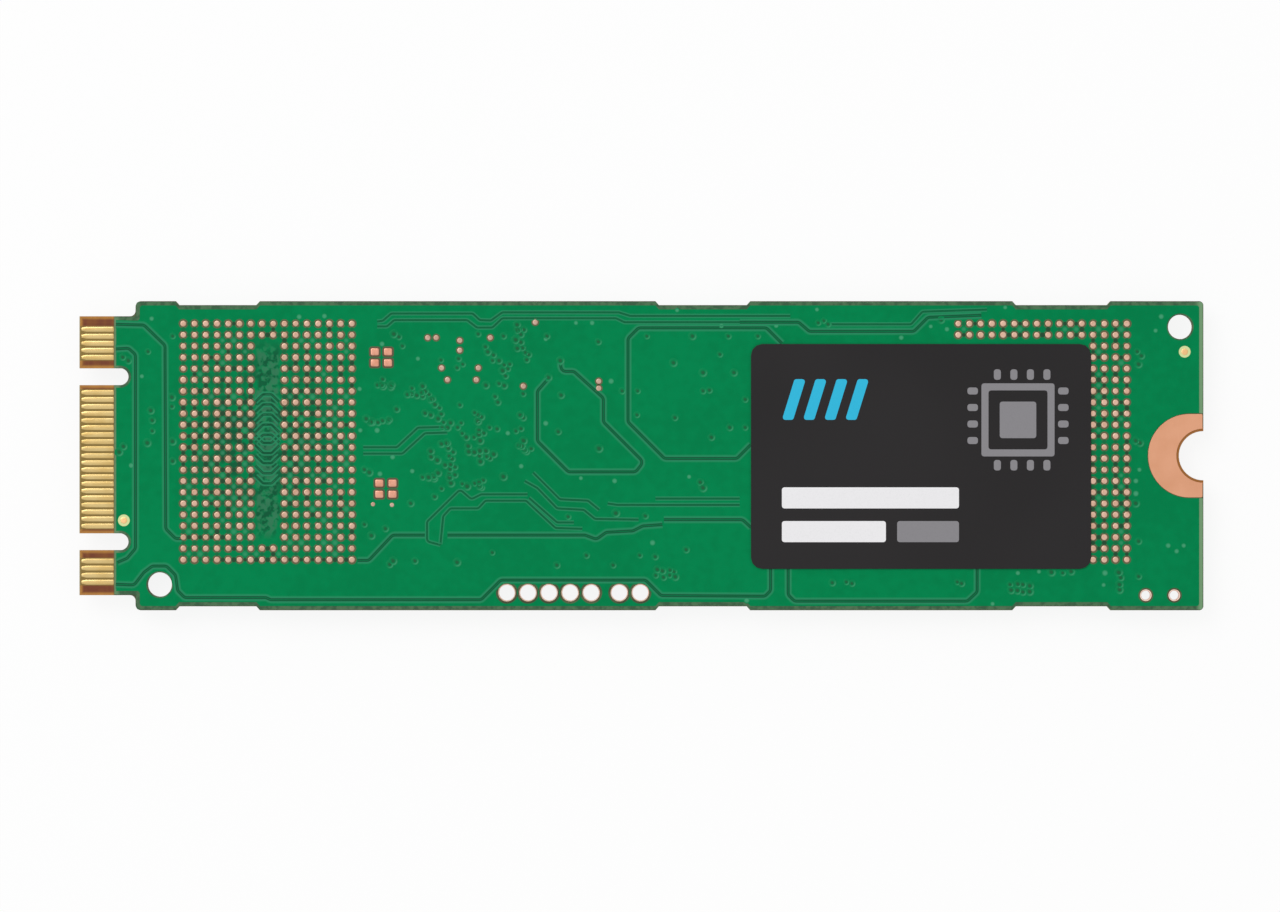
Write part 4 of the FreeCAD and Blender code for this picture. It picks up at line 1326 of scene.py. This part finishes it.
test_copper = metal_in_opening("test_copper", srgb(184, 158, 142), srgb(168, 138, 120), OPENING_DARK)
test_places = places_of("test_lands")
test_sizes = [SMALL_TEST_LAND if place.x < SMALL_TEST_LANDS_BEFORE else 1.0 for place in test_places]
enter_each("round_test_lands", land(**TEST_LAND), test_places, test_copper, "copper", "test_lands",
           side=FACE_UP, sizes=test_sizes)
pad_copper = metal_in_opening("pad_copper", srgb(206, 149, 127), srgb(192, 133, 109), PAD_RING)
soft_pad = stacked("square_pad", PAD_STACK, pad_outline)
enter_each("soft_spare_pads", soft_pad, places_of("spare_capacitor_pads"), pad_copper, "copper",
           "spare_capacitor_pads", side=FACE_UP)
mark_gold = metal_in_opening("alignment_gold", srgb(224, 186, 134), srgb(214, 172, 116), MARK_RING)
enter_each("alignment_marks", land(**MARK_LAND), places_of("fiducials"), mark_gold, "gold", "fiducials",
           side=FACE_UP)

# %% [markdown]
# A plated hole is a tinned copper tube through the card, with a flange on each face that is dark with resin
# at its rim. Its section is a ring of loops: over the upper flange, down the bore, round the lower flange
# and back up the outside. The frame's twelve-sided solids give the places, and the flanges cover their
# corners.

# %% Plated holes
TUBE_SIDES = 32
TUBE_RADII = {
    "header_hole_barrels": {"bore": 0.56, "wall": 0.6, "bright": 0.61, "flange": 0.67},
    "service_hole_barrels": {"bore": 0.33, "wall": 0.38, "bright": 0.41, "flange": 0.45},
}
BORE_ROUNDING = 0.03
RIM_STEP = 0.005
RIM_SHARE = 0.6
STRIP_CORNERS = 4
tinned_copper = metal_in_opening("plated_ring", srgb(240, 212, 198), srgb(222, 186, 164), OPENING_DARK)


def without_caps(mesh):
    """Takes off the two end caps of a skin whose last loop meets its first, and welds that seam."""
    shape = bmesh.new()
    shape.from_mesh(mesh)
    caps = [face for face in shape.faces if len(face.verts) > STRIP_CORNERS]
    bmesh.ops.delete(shape, geom=caps, context="FACES_ONLY")
    shape.to_mesh(mesh)
    shape.free()
    return welded(mesh)


def plated_tube(bore, wall, bright, flange):
    """A tube through the card whose flanges are bright out to a radius, and dark from there."""
    top = FACE + COPPER
    upper = [
        (flange, FACE, 0), (flange, FACE + RIM_SHARE * COPPER, 0), (bright + RIM_STEP, top, 0),
        (bright, top, 1), (bore + BORE_ROUNDING, top, 1), (bore, FACE, 1),
    ]
    lower = [(radius, FACE + BACK - z, level) for radius, z, level in reversed(upper)]
    section = upper + lower + [(wall, BACK, 1), (wall, FACE, 1), upper[0]]
    return without_caps(stacked("plated_tube", section, lambda radius, z: circle(radius, z, TUBE_SIDES)))


for node, radii in TUBE_RADII.items():
    enter_each(node.replace("barrels", "tubes"), plated_tube(**radii), places_of(node), tinned_copper,
               "copper", node)

# %% [markdown]
# The land round the screw notch is a broad copper horseshoe on each face. It stops a little before the
# routed notch, which leaves a thin golden line of laminate round it, and its rim is rounded.

# %% Screw lands
LAND_FROM_NOTCH = 0.17
LAND_FROM_END = 0.06
LAND_CORNER = 0.1
LAND_RIM = 0.01
LAND_STEPS = 20
NOTCH_STEPS = 30
SCREW_COPPER = srgb(205, 151, 120)
SCREW_COPPER_DEEP = srgb(198, 143, 111)

land_paint = Paint("screw_land_copper")
land_stain = land_paint.fade(land_paint.noise(420, detail=3.0), start=0.35, end=0.7)
land_grain = land_paint.noise(7000, stretch=(1.0, 0.15, 1.0))
screw_copper = land_paint.finish(land_paint.blend(land_stain, SCREW_COPPER, SCREW_COPPER_DEEP),
                                 between(0.44, 0.56, land_grain), metallic=1.0,
                                 normal=land_paint.bump(land_grain, depth=0.001))


def horseshoe():
    """The land's outline: round outside, and open round the notch."""
    outer = SCREW_LAND_RADIUS
    inner = NOTCH_RADIUS + LAND_FROM_NOTCH
    end = LENGTH - LAND_FROM_END
    upper = [(end, outer, LAND_CORNER), (SCREW_LAND_CENTRE - outer, outer, outer * NEARLY_ROUND)]
    outside = through(upper + [(x, -y, radius) for x, y, radius in reversed(upper)], LAND_STEPS)
    lowest = -math.acos((LENGTH - end) / inner)
    turns = [math.pi - lowest + 2 * lowest * step / NOTCH_STEPS for step in range(NOTCH_STEPS + 1)]
    return outside + [Vector((LENGTH + inner * math.cos(t), inner * math.sin(t))) for t in turns]


for node, low in (("screw_land_upper", FACE), ("screw_land_lower", BACK - COPPER)):
    sheet = film("horseshoe", [horseshoe()], low, low + COPPER, LAND_RIM)
    enter(node.replace("screw_land", "copper_horseshoe"), sheet, screw_copper, "copper", node, smooth=FLAT)

# %% [markdown]
# The label is a black satin film with rounded corners. It is drawn a hair lower than the frame's, so that
# film and ink together have the frame's height.

# %% Label film
INK = 0.004
LABEL_CORNER = 0.8
LABEL_RIM = 0.02
FILM_BLACK = srgb(33, 31, 32)
FILM_PALER = srgb(37, 35, 36)
label_low, label_high = card_box("label")
label_span = label_high - label_low
film_top = label_high.z - INK

film_paint = Paint("label_film")
film_grain = film_paint.noise(9000)
film_drift = film_paint.fade(film_paint.noise(90, detail=1.0), start=0.3, end=0.7)
label_film = film_paint.finish(film_paint.blend(film_drift, FILM_BLACK, FILM_PALER),
                               between(0.42, 0.58, film_grain),
                               normal=film_paint.bump(film_grain, depth=0.002), specular=0.15)
label_outline = pad_loop(label_span.x, label_span.y, LABEL_CORNER, 0, middle((label_low, label_high)))
enter("label_sheet", film("label_sheet", [label_outline], FACE + MASK, film_top, LABEL_RIM), label_film,
      "label_film", "label", smooth=FLAT)

# %% [markdown]
# The print is made of plain shapes in white, grey and blue inks: bars of different lengths, slanted flashes
# and a little picture of a chip with its legs. Inks are thin films of their own, so they stay crisp at any
# distance.

# %% Label print
BAR_CORNER = 0.18
FRAME_INSET = 0.5
CORE_INSET = 1.3
LEG_COUNT = 4
LEG_WIDTH = 0.5
LEG_LENGTH = 0.75
LEG_GAP = 0.25
FIRST_LEG = 0.75
INK_SINK = 0.001
WORN_SHADE = 0.7
WORN_SHARE = 0.12


def ink(name, *colour):
    """A printed ink with a fine speckle."""
    paint = Paint(name)
    speck = paint.noise(12000)
    worn = srgb(*[part * WORN_SHADE for part in colour])
    body = paint.blend(paint.fade(speck, start=0.4, end=0.9) * WORN_SHARE, srgb(*colour), worn)
    return paint.finish(body, between(0.45, 0.6, speck), specular=0.3)


def bar(x, y, length, tall, slant=0.0):
    """A printed bar whose lower left corner is at x and y, measured on the label."""
    places = ((x, y), (x + length, y), (x + length + slant, y + tall), (x + slant, y + tall))
    return [point + Vector(label_low[:2]) for point in through([(*place, BAR_CORNER) for place in places])]


def chip_picture(x, y, side):
    """A square frame with a core and a row of legs on each side."""
    insets = (0.0, FRAME_INSET, CORE_INSET)
    shapes = [bar(x + inset, y + inset, side - 2 * inset, side - 2 * inset) for inset in insets]
    ends = (-LEG_GAP - LEG_LENGTH, side + LEG_GAP)
    for leg in range(LEG_COUNT):
        offset = (leg + FIRST_LEG) * (side - LEG_WIDTH) / LEG_COUNT
        shapes += [bar(x + offset, y + end, LEG_WIDTH, LEG_LENGTH) for end in ends]
        shapes += [bar(x + end, y + offset, LEG_LENGTH, LEG_WIDTH) for end in ends]
    return shapes


PRINT = {
    "ink_white": ((244, 243, 245), [bar(2.2, 4.3, 12.6, 1.5), bar(2.2, 1.9, 7.4, 1.5)]),
    "ink_grey": ((138, 136, 140), chip_picture(16.4, 8.0, 5.2) + [bar(10.4, 1.9, 4.4, 1.5)]),
    "ink_blue": ((38, 188, 226), [bar(2.2 + 1.5 * i, 10.6, 0.8, 2.9, slant=0.9) for i in range(4)]),
}
for name, (colour, shapes) in PRINT.items():
    printed = film(name, shapes, film_top - INK_SINK, label_high.z, INK_SINK)
    enter(name, printed, ink(name, *colour), "label_film", smooth=FLAT)

# %% [markdown]
# Below the card, four ball grid packages carry the memory, the controller and its cache. A package is a
# black moulded cap on a thin green carrier. The moulding compound is matt and gritty, with faint marks of
# its flow. One finish serves both, and tells cap from carrier by height.

# %% Moulding compound
CARRIER = 0.2
CARRIER_LEVEL = card_box("flash_package_connector_end")[1].z - CARRIER
CAP_BLACK = srgb(40, 40, 42)
CAP_GREY = srgb(62, 62, 64)
FLOW_SHOWN = 0.2
GRIT_SHOWN = 0.6
CARRIER_DEEP = srgb(24, 62, 40)
CARRIER_GREEN = srgb(40, 84, 54)

mould_paint = Paint("moulded_cap")
grit = mould_paint.noise(6500, detail=3.0)
flow = mould_paint.fade(mould_paint.noise(300), start=0.3, end=0.7)
grey_share = flow * FLOW_SHOWN + mould_paint.fade(grit, start=0.45, end=0.75) * GRIT_SHOWN
cap_colour = mould_paint.blend(grey_share, CAP_BLACK, CAP_GREY)
carrier_colour = mould_paint.blend(mould_paint.fade(grit, start=0.4, end=0.6), CARRIER_DEEP, CARRIER_GREEN)
is_carrier = mould_paint.axis("Z") > CARRIER_LEVEL
moulding = mould_paint.finish(mould_paint.blend(is_carrier, cap_colour, carrier_colour),
                              between(0.55, 0.75, grit), normal=mould_paint.bump(grit, depth=0.008),
                              specular=0.35)
print(f"carriers lie above {CARRIER_LEVEL:.2f} mm")

# %% [markdown]
# A package has a chamfered edge and a round dimple that marks its first pin. The dimple's circle and the
# outline have the same number of points at the same bearings, so one stack of loops makes the whole body.
# The two small power chips are made the same way, without a carrier.

# %% Packages
CHAMFER = 0.06
CAP_INSET = 0.03
CARRIER_STEP = 0.001
PACKAGE_CORNER = 0.12
DIMPLE_RADIUS = 0.45
DIMPLE_FLOOR = 0.85
DIMPLE_DEPTH = 0.05
DIMPLE_FROM_EDGE = 1.3


def package(name, node, dimple=DIMPLE_RADIUS, from_edge=DIMPLE_FROM_EDGE, carrier=True):
    """A moulded package in a node's box, its marked face down."""
    low, high = card_box(node)
    span = high - low
    spot = Vector((low.x + from_edge, high.y - from_edge))

    def outline(inset, z):
        return pad_loop(span.x - 2 * inset, span.y - 2 * inset, PACKAGE_CORNER, z, middle((low, high)))

    def round_spot(radius, z):
        bearings = [(Vector(point[:2]) - spot).normalized() for point in outline(CHAMFER, z)]
        return [(*(spot + bearing * radius), z) for bearing in bearings]

    cap = CAP_INSET if carrier else 0.0
    loops = [
        round_spot(DIMPLE_FLOOR * dimple, low.z + DIMPLE_DEPTH), round_spot(dimple, low.z),
        outline(CHAMFER + cap, low.z), outline(cap, low.z + CHAMFER),
    ]
    if carrier:
        loops += [outline(cap, CARRIER_LEVEL), outline(0.0, CARRIER_LEVEL + CARRIER_STEP)]
    loops.append(outline(0.0, high.z))
    enter(name, skin(name, loops), moulding, "moulding", node)


for node in ("flash_package_connector_end", "flash_package_screw_end", "controller_package",
             "cache_memory_package"):
    package(node.replace("package", "body"), node)
package("power_chip_body", "power_chip", dimple=0.2, from_edge=0.6, carrier=False)
package("load_switch_body", "load_switch", dimple=0.12, from_edge=0.35, carrier=False)

# %% [markdown]
# A package stands on a grid of solder balls, squashed between it and the card. Only the outer rows are
# ever seen, through the gap, but the whole grid is easy: the recipe lays a grid of points, takes out the
# window that some packages leave in the middle, and sets a low ball on each point.

# %% Ball grid recipe
BALL_SEGMENTS = 8
BALL_RINGS = 5

ball_grid = Recipe("ball_grid", {
    "Columns": "Int", "Rows": "Int", "Pitch": "Float", "Ball radius": "Float", "Ball height": "Float",
    "Window length": "Float", "Window width": "Float",
})
pitch = ball_grid.given("Pitch")
cells = ball_grid.add("GeometryNodeMeshGrid", None, {
    "Size X": (ball_grid.given("Columns") - 1) * pitch,
    "Size Y": (ball_grid.given("Rows") - 1) * pitch,
    "Vertices X": ball_grid.given("Columns"),
    "Vertices Y": ball_grid.given("Rows"),
})
here = ball_grid.add("GeometryNodeInputPosition")
from_middle_x = abs(ball_grid.add("ShaderNodeSeparateXYZ", None, {0: here}, "X"))
from_middle_y = abs(ball_grid.add("ShaderNodeSeparateXYZ", None, {0: here}, "Y"))
in_window = from_middle_x < ball_grid.given("Window length") / 2
in_window = in_window * (from_middle_y < ball_grid.given("Window width") / 2)
cells = ball_grid.add("GeometryNodeDeleteGeometry", None, {"Geometry": cells, "Selection": in_window})
ball_radius = ball_grid.given("Ball radius")
ball = ball_grid.add("GeometryNodeMeshUVSphere", None, {
    "Segments": BALL_SEGMENTS,
    "Rings": BALL_RINGS,
    "Radius": ball_radius,
})
flatten = ball_grid.point(X=1.0, Y=1.0, Z=ball_grid.given("Ball height") / (ball_radius * 2))
ball = ball_grid.add("GeometryNodeTransform", None, {"Geometry": ball, "Scale": flatten})
balls = ball_grid.add("GeometryNodeInstanceOnPoints", None, {"Points": cells, "Instance": ball})
ball_grid.finish(ball_grid.add("GeometryNodeInstanceOnPoints", None, {
    "Points": ball_grid.given("Geometry"),
    "Instance": balls,
}))
print("ball grid recipe with", len(ball_grid.tree.nodes), "nodes")

# %% [markdown]
# The recipe starts from one point in the middle of the gap over a package, and the ball's height is that
# gap. Packages differ in the pitch and number of their balls, which are the recipe's inputs. Solder is a
# bright metal with a fine grain. Several finishes are of that kind, two colours mixed by one noise, so a
# function makes them.

# %% Solder balls
BALL_RADIUS = 0.2
BALL_ROUNDED = 60
FLASH_BALLS = {"Columns": 16, "Rows": 22, "Pitch": 0.8, "Window length": 1.4, "Window width": 14.0}
NO_WINDOW = {"Window length": 0.0, "Window width": 0.0}
BALL_GRIDS = {
    "flash_package_connector_end": FLASH_BALLS,
    "flash_package_screw_end": FLASH_BALLS,
    "controller_package": {"Columns": 17, "Rows": 17, "Pitch": 0.65, **NO_WINDOW},
    "cache_memory_package": {"Columns": 15, "Rows": 16, "Pitch": 0.65, **NO_WINDOW},
}


def grained(name, scale, first, second, rough, contrast=None, depth=0.0, detail=2.0, **settings):
    """A finish of two colours mixed by one noise, which also gives its roughness and its relief."""
    paint = Paint(name)
    grain = paint.noise(scale, detail)
    share = paint.fade(grain, *contrast) if contrast else grain
    normal = paint.bump(grain, depth) if depth else None
    return paint.finish(paint.blend(share, first, second), between(*rough, grain), normal=normal, **settings)


solder = grained("bright_solder", 5000, srgb(214, 214, 212), srgb(176, 178, 180), rough=(0.22, 0.38),
                 metallic=1.0)
grids = []
for node, sizes in BALL_GRIDS.items():
    low, high = card_box(node)
    gap = BACK - high.z
    under = bpy.data.meshes.new("under_package")
    under.from_pydata([(*middle((low, high)).to_2d(), high.z + gap / 2)], [], [])
    grids.append(ball_grid.grow(under, solder, {**sizes, "Ball radius": BALL_RADIUS, "Ball height": gap}))
enter("solder_balls", welded(*grids), solder, "solder", "corner_solder_balls", smooth=BALL_ROUNDED)

# %% [markdown]
# Small two-ended parts are ceramic blocks with a tinned cap on each end. Capacitors are bare tan ceramic,
# and resistors have a black glaze.

# %% Ceramic, glaze and tin
tan_ceramic = grained("tan_ceramic", 4200, srgb(150, 118, 84), srgb(172, 138, 102), rough=(0.5, 0.7),
                      contrast=(0.35, 0.65), depth=0.004, specular=0.35)
black_glaze = grained("black_glaze", 3800, srgb(26, 26, 28), srgb(44, 44, 46), rough=(0.3, 0.5),
                      specular=0.4)
tinned = grained("tinned_end", 3600, srgb(206, 206, 204), srgb(168, 169, 170), rough=(0.3, 0.5),
                 metallic=1.0)
print("finishes:", tan_ceramic.name, black_glaze.name, tinned.name)

# %% [markdown]
# Solder climbs each cap in a hollow fillet. Body and caps are separate pieces, because they have different
# finishes. One shape serves a whole row: the scatter recipe sets it on each solid of the node and turns it
# where the solid lies the other way.

# %% Capacitors and resistors
END_SHARE = 0.26
BODY_INSET = 0.018
BODY_ROUNDING = 0.02
END_ROUNDING = 0.035
ROUNDING_SHARE = 0.3
FILLET_OVERLAP = 0.12
FILLET_CORNER = 0.04
FILLET_STEPS = ((0.0, 0.2, 0.07), (0.03, 0.19, 0.06), (0.12, 0.08, 0.03), (0.3, 0.01, 0.004))


def soft_block(name, length, width, low, high, radius, centre=(0.0, 0.0)):
    """A block with rounded corners and edges."""
    slight = ROUNDING_SHARE * radius
    lower = [(radius, low), (slight, low + slight), (0.0, low + radius)]
    upper = [(0.0, high - radius), (slight, high - slight), (radius, high)]
    return skin(name, [pad_loop(length - 2 * inset, width - 2 * inset, radius, z, centre)
                       for inset, z in lower + upper])


def fillet(way, length, width, high):
    """Solder at one end of a part: each step is a height off the card, a reach and a spread."""
    loops = []
    for off_card, reach, spread in FILLET_STEPS:
        long = FILLET_OVERLAP + reach
        centre = (way * (length / 2 - FILLET_OVERLAP + long / 2), 0.0)
        loops.append(pad_loop(long, width + 2 * spread, FILLET_CORNER, high - off_card, centre))
    return skin("fillet", loops)


def two_ended_row(node, body_name, end_name, body_finish, slot):
    """A row of two-ended parts: one piece for the bodies, one for the tinned ends."""
    boxes = solids_of(node)
    span = span_of(node)
    length, width = max(span.x, span.y), min(span.x, span.y)
    low, high = -span.z / 2, span.z / 2
    end_length = END_SHARE * length
    body = soft_block("body", length - 2 * BODY_INSET, width - 2 * BODY_INSET, low + BODY_INSET, high,
                      BODY_ROUNDING)
    ends = []
    for way in (-1, 1):
        centre = (way * (length - end_length) / 2, 0.0)
        ends.append(soft_block("end", end_length, width, low, high, END_ROUNDING, centre))
        ends.append(fillet(way, length, width, high))
    places = [middle(box) for box in boxes]
    turns = [0.0 if box[1].x - box[0].x > box[1].y - box[0].y else math.pi / 2 for box in boxes]
    enter_each(body_name, body, places, body_finish, slot, node, turns=turns)
    enter_each(end_name, welded(*ends), places, tinned, "solder", turns=turns)


two_ended_row("coupling_capacitors", "coupling_bodies", "coupling_ends", tan_ceramic, "ceramic")
two_ended_row("bulk_capacitors", "bulk_bodies", "bulk_ends", tan_ceramic, "ceramic")
two_ended_row("decoupling_capacitors", "decoupling_bodies", "decoupling_ends", tan_ceramic, "ceramic")
two_ended_row("resistors", "resistor_bodies", "resistor_ends", black_glaze, "moulding")

# %% [markdown]
# The power inductors are blocks of grey pressed ferrite, rough and a little uneven in tone. Each is a block
# with soft edges, like the bodies above.

# %% Inductors
INDUCTOR_ROUNDING = 0.12
ferrite = grained("pressed_ferrite", 5200, srgb(82, 82, 86), srgb(112, 112, 114), rough=(0.6, 0.8),
                  contrast=(0.35, 0.7), depth=0.012, detail=3.0, specular=0.3)
long, wide, tall = span_of("power_inductors")
inductor = soft_block("inductor", long, wide, -tall / 2, tall / 2, INDUCTOR_ROUNDING)
inductor_places = [middle(box) for box in solids_of("power_inductors")]
enter_each("inductor_blocks", inductor, inductor_places, ferrite, "ferrite", "power_inductors")

# %% [markdown]
# The inductors and the two small chips stand on tinned feet: one wide foot at each end of an inductor, and
# a row along two or four sides of a chip. One function walks round the sides of a box and gives the places
# and turns.

# %% Feet
FOOT_OUT = 0.06
FOOT_HEIGHT = 0.22
FOOT_ROUNDING = 0.03
FEET = {
    "power_inductors": {"length": 0.5, "width": 1.5, "count": 1, "pitch": 0.0, "sides": 2},
    "power_chip": {"length": 0.4, "width": 0.28, "count": 7, "pitch": 0.5, "sides": 4},
    "load_switch": {"length": 0.3, "width": 0.26, "count": 3, "pitch": 0.5, "sides": 2},
}


def feet_places(box, feet):
    """Places and turns of the feet along two or four sides of a box."""
    span = box[1] - box[0]
    places, turns = [], []
    for side in range(feet["sides"]):
        turn = side * 2 * math.pi / feet["sides"]
        across = span.y if side % 2 and feet["sides"] == 4 else span.x
        reach = across / 2 + FOOT_OUT - feet["length"] / 2
        for foot in range(feet["count"]):
            offset = Vector((reach, (foot - (feet["count"] - 1) / 2) * feet["pitch"], 0.0))
            offset.rotate(Matrix.Rotation(turn, 3, "Z"))
            places.append(Vector((*middle(box).to_2d(), BACK)) + offset)
            turns.append(turn)
    return places, turns


for node, feet in FEET.items():
    places, turns = [], []
    for box in solids_of(node):
        more_places, more_turns = feet_places(box, feet)
        places += more_places
        turns += more_turns
    foot = soft_block("foot", feet["length"], feet["width"], -FOOT_HEIGHT, 0.0, FOOT_ROUNDING)
    enter_each(node + "_feet", foot, places, tinned, "solder", turns=turns)

# %% [markdown]
# The clock crystal is a ceramic tray with a metal lid welded on. It is one stack of loops, with a level of
# 1 on the lid and 0 on the tray, so a single finish dresses both.

# %% Clock crystal
LID_HEIGHT = 0.35
CRYSTAL_CORNER = 0.2
LID_PALE = srgb(204, 200, 190)
LID_GREY = srgb(176, 172, 164)
TRAY_BROWN = srgb(70, 62, 54)

lid_paint = Paint("crystal_lid")
is_lid = lid_paint.fade(lid_paint.attribute("level"), start=0.4, end=0.6)
lid_grain = lid_paint.noise(6000, stretch=(0.2, 1.0, 1.0))
lid_metal = lid_paint.blend(lid_grain, LID_PALE, LID_GREY)
crystal_finish = lid_paint.finish(lid_paint.blend(is_lid, TRAY_BROWN, lid_metal),
                                  between(0.5, 0.35, is_lid) + lid_grain * 0.1, is_lid)
low, high = card_box("clock_crystal")
lid_z = high.z - LID_HEIGHT
crystal_stack = (
    (0.24, low.z, 1), (0.17, low.z + 0.04, 1), (0.15, lid_z, 1), (0.1, lid_z, 0.9), (0.08, lid_z + 0.01, 0),
    (0.02, lid_z + 0.01, 0), (0.0, lid_z + 0.03, 0), (0.0, high.z, 0),
)


def crystal_loop(inset, z):
    long, wide, _ = high - low
    return pad_loop(long - 2 * inset, wide - 2 * inset, CRYSTAL_CORNER, z, middle((low, high)))


enter("crystal_can", stacked("crystal", crystal_stack, crystal_loop), crystal_finish, "can", "clock_crystal")

# %% [markdown]
# Last, the box round the dressed model is printed, in millimetres.

# %% Sizes and finish
low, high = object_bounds()
print("visual box in mm:", [round(v * 1000, 3) for v in (*low, *high)])
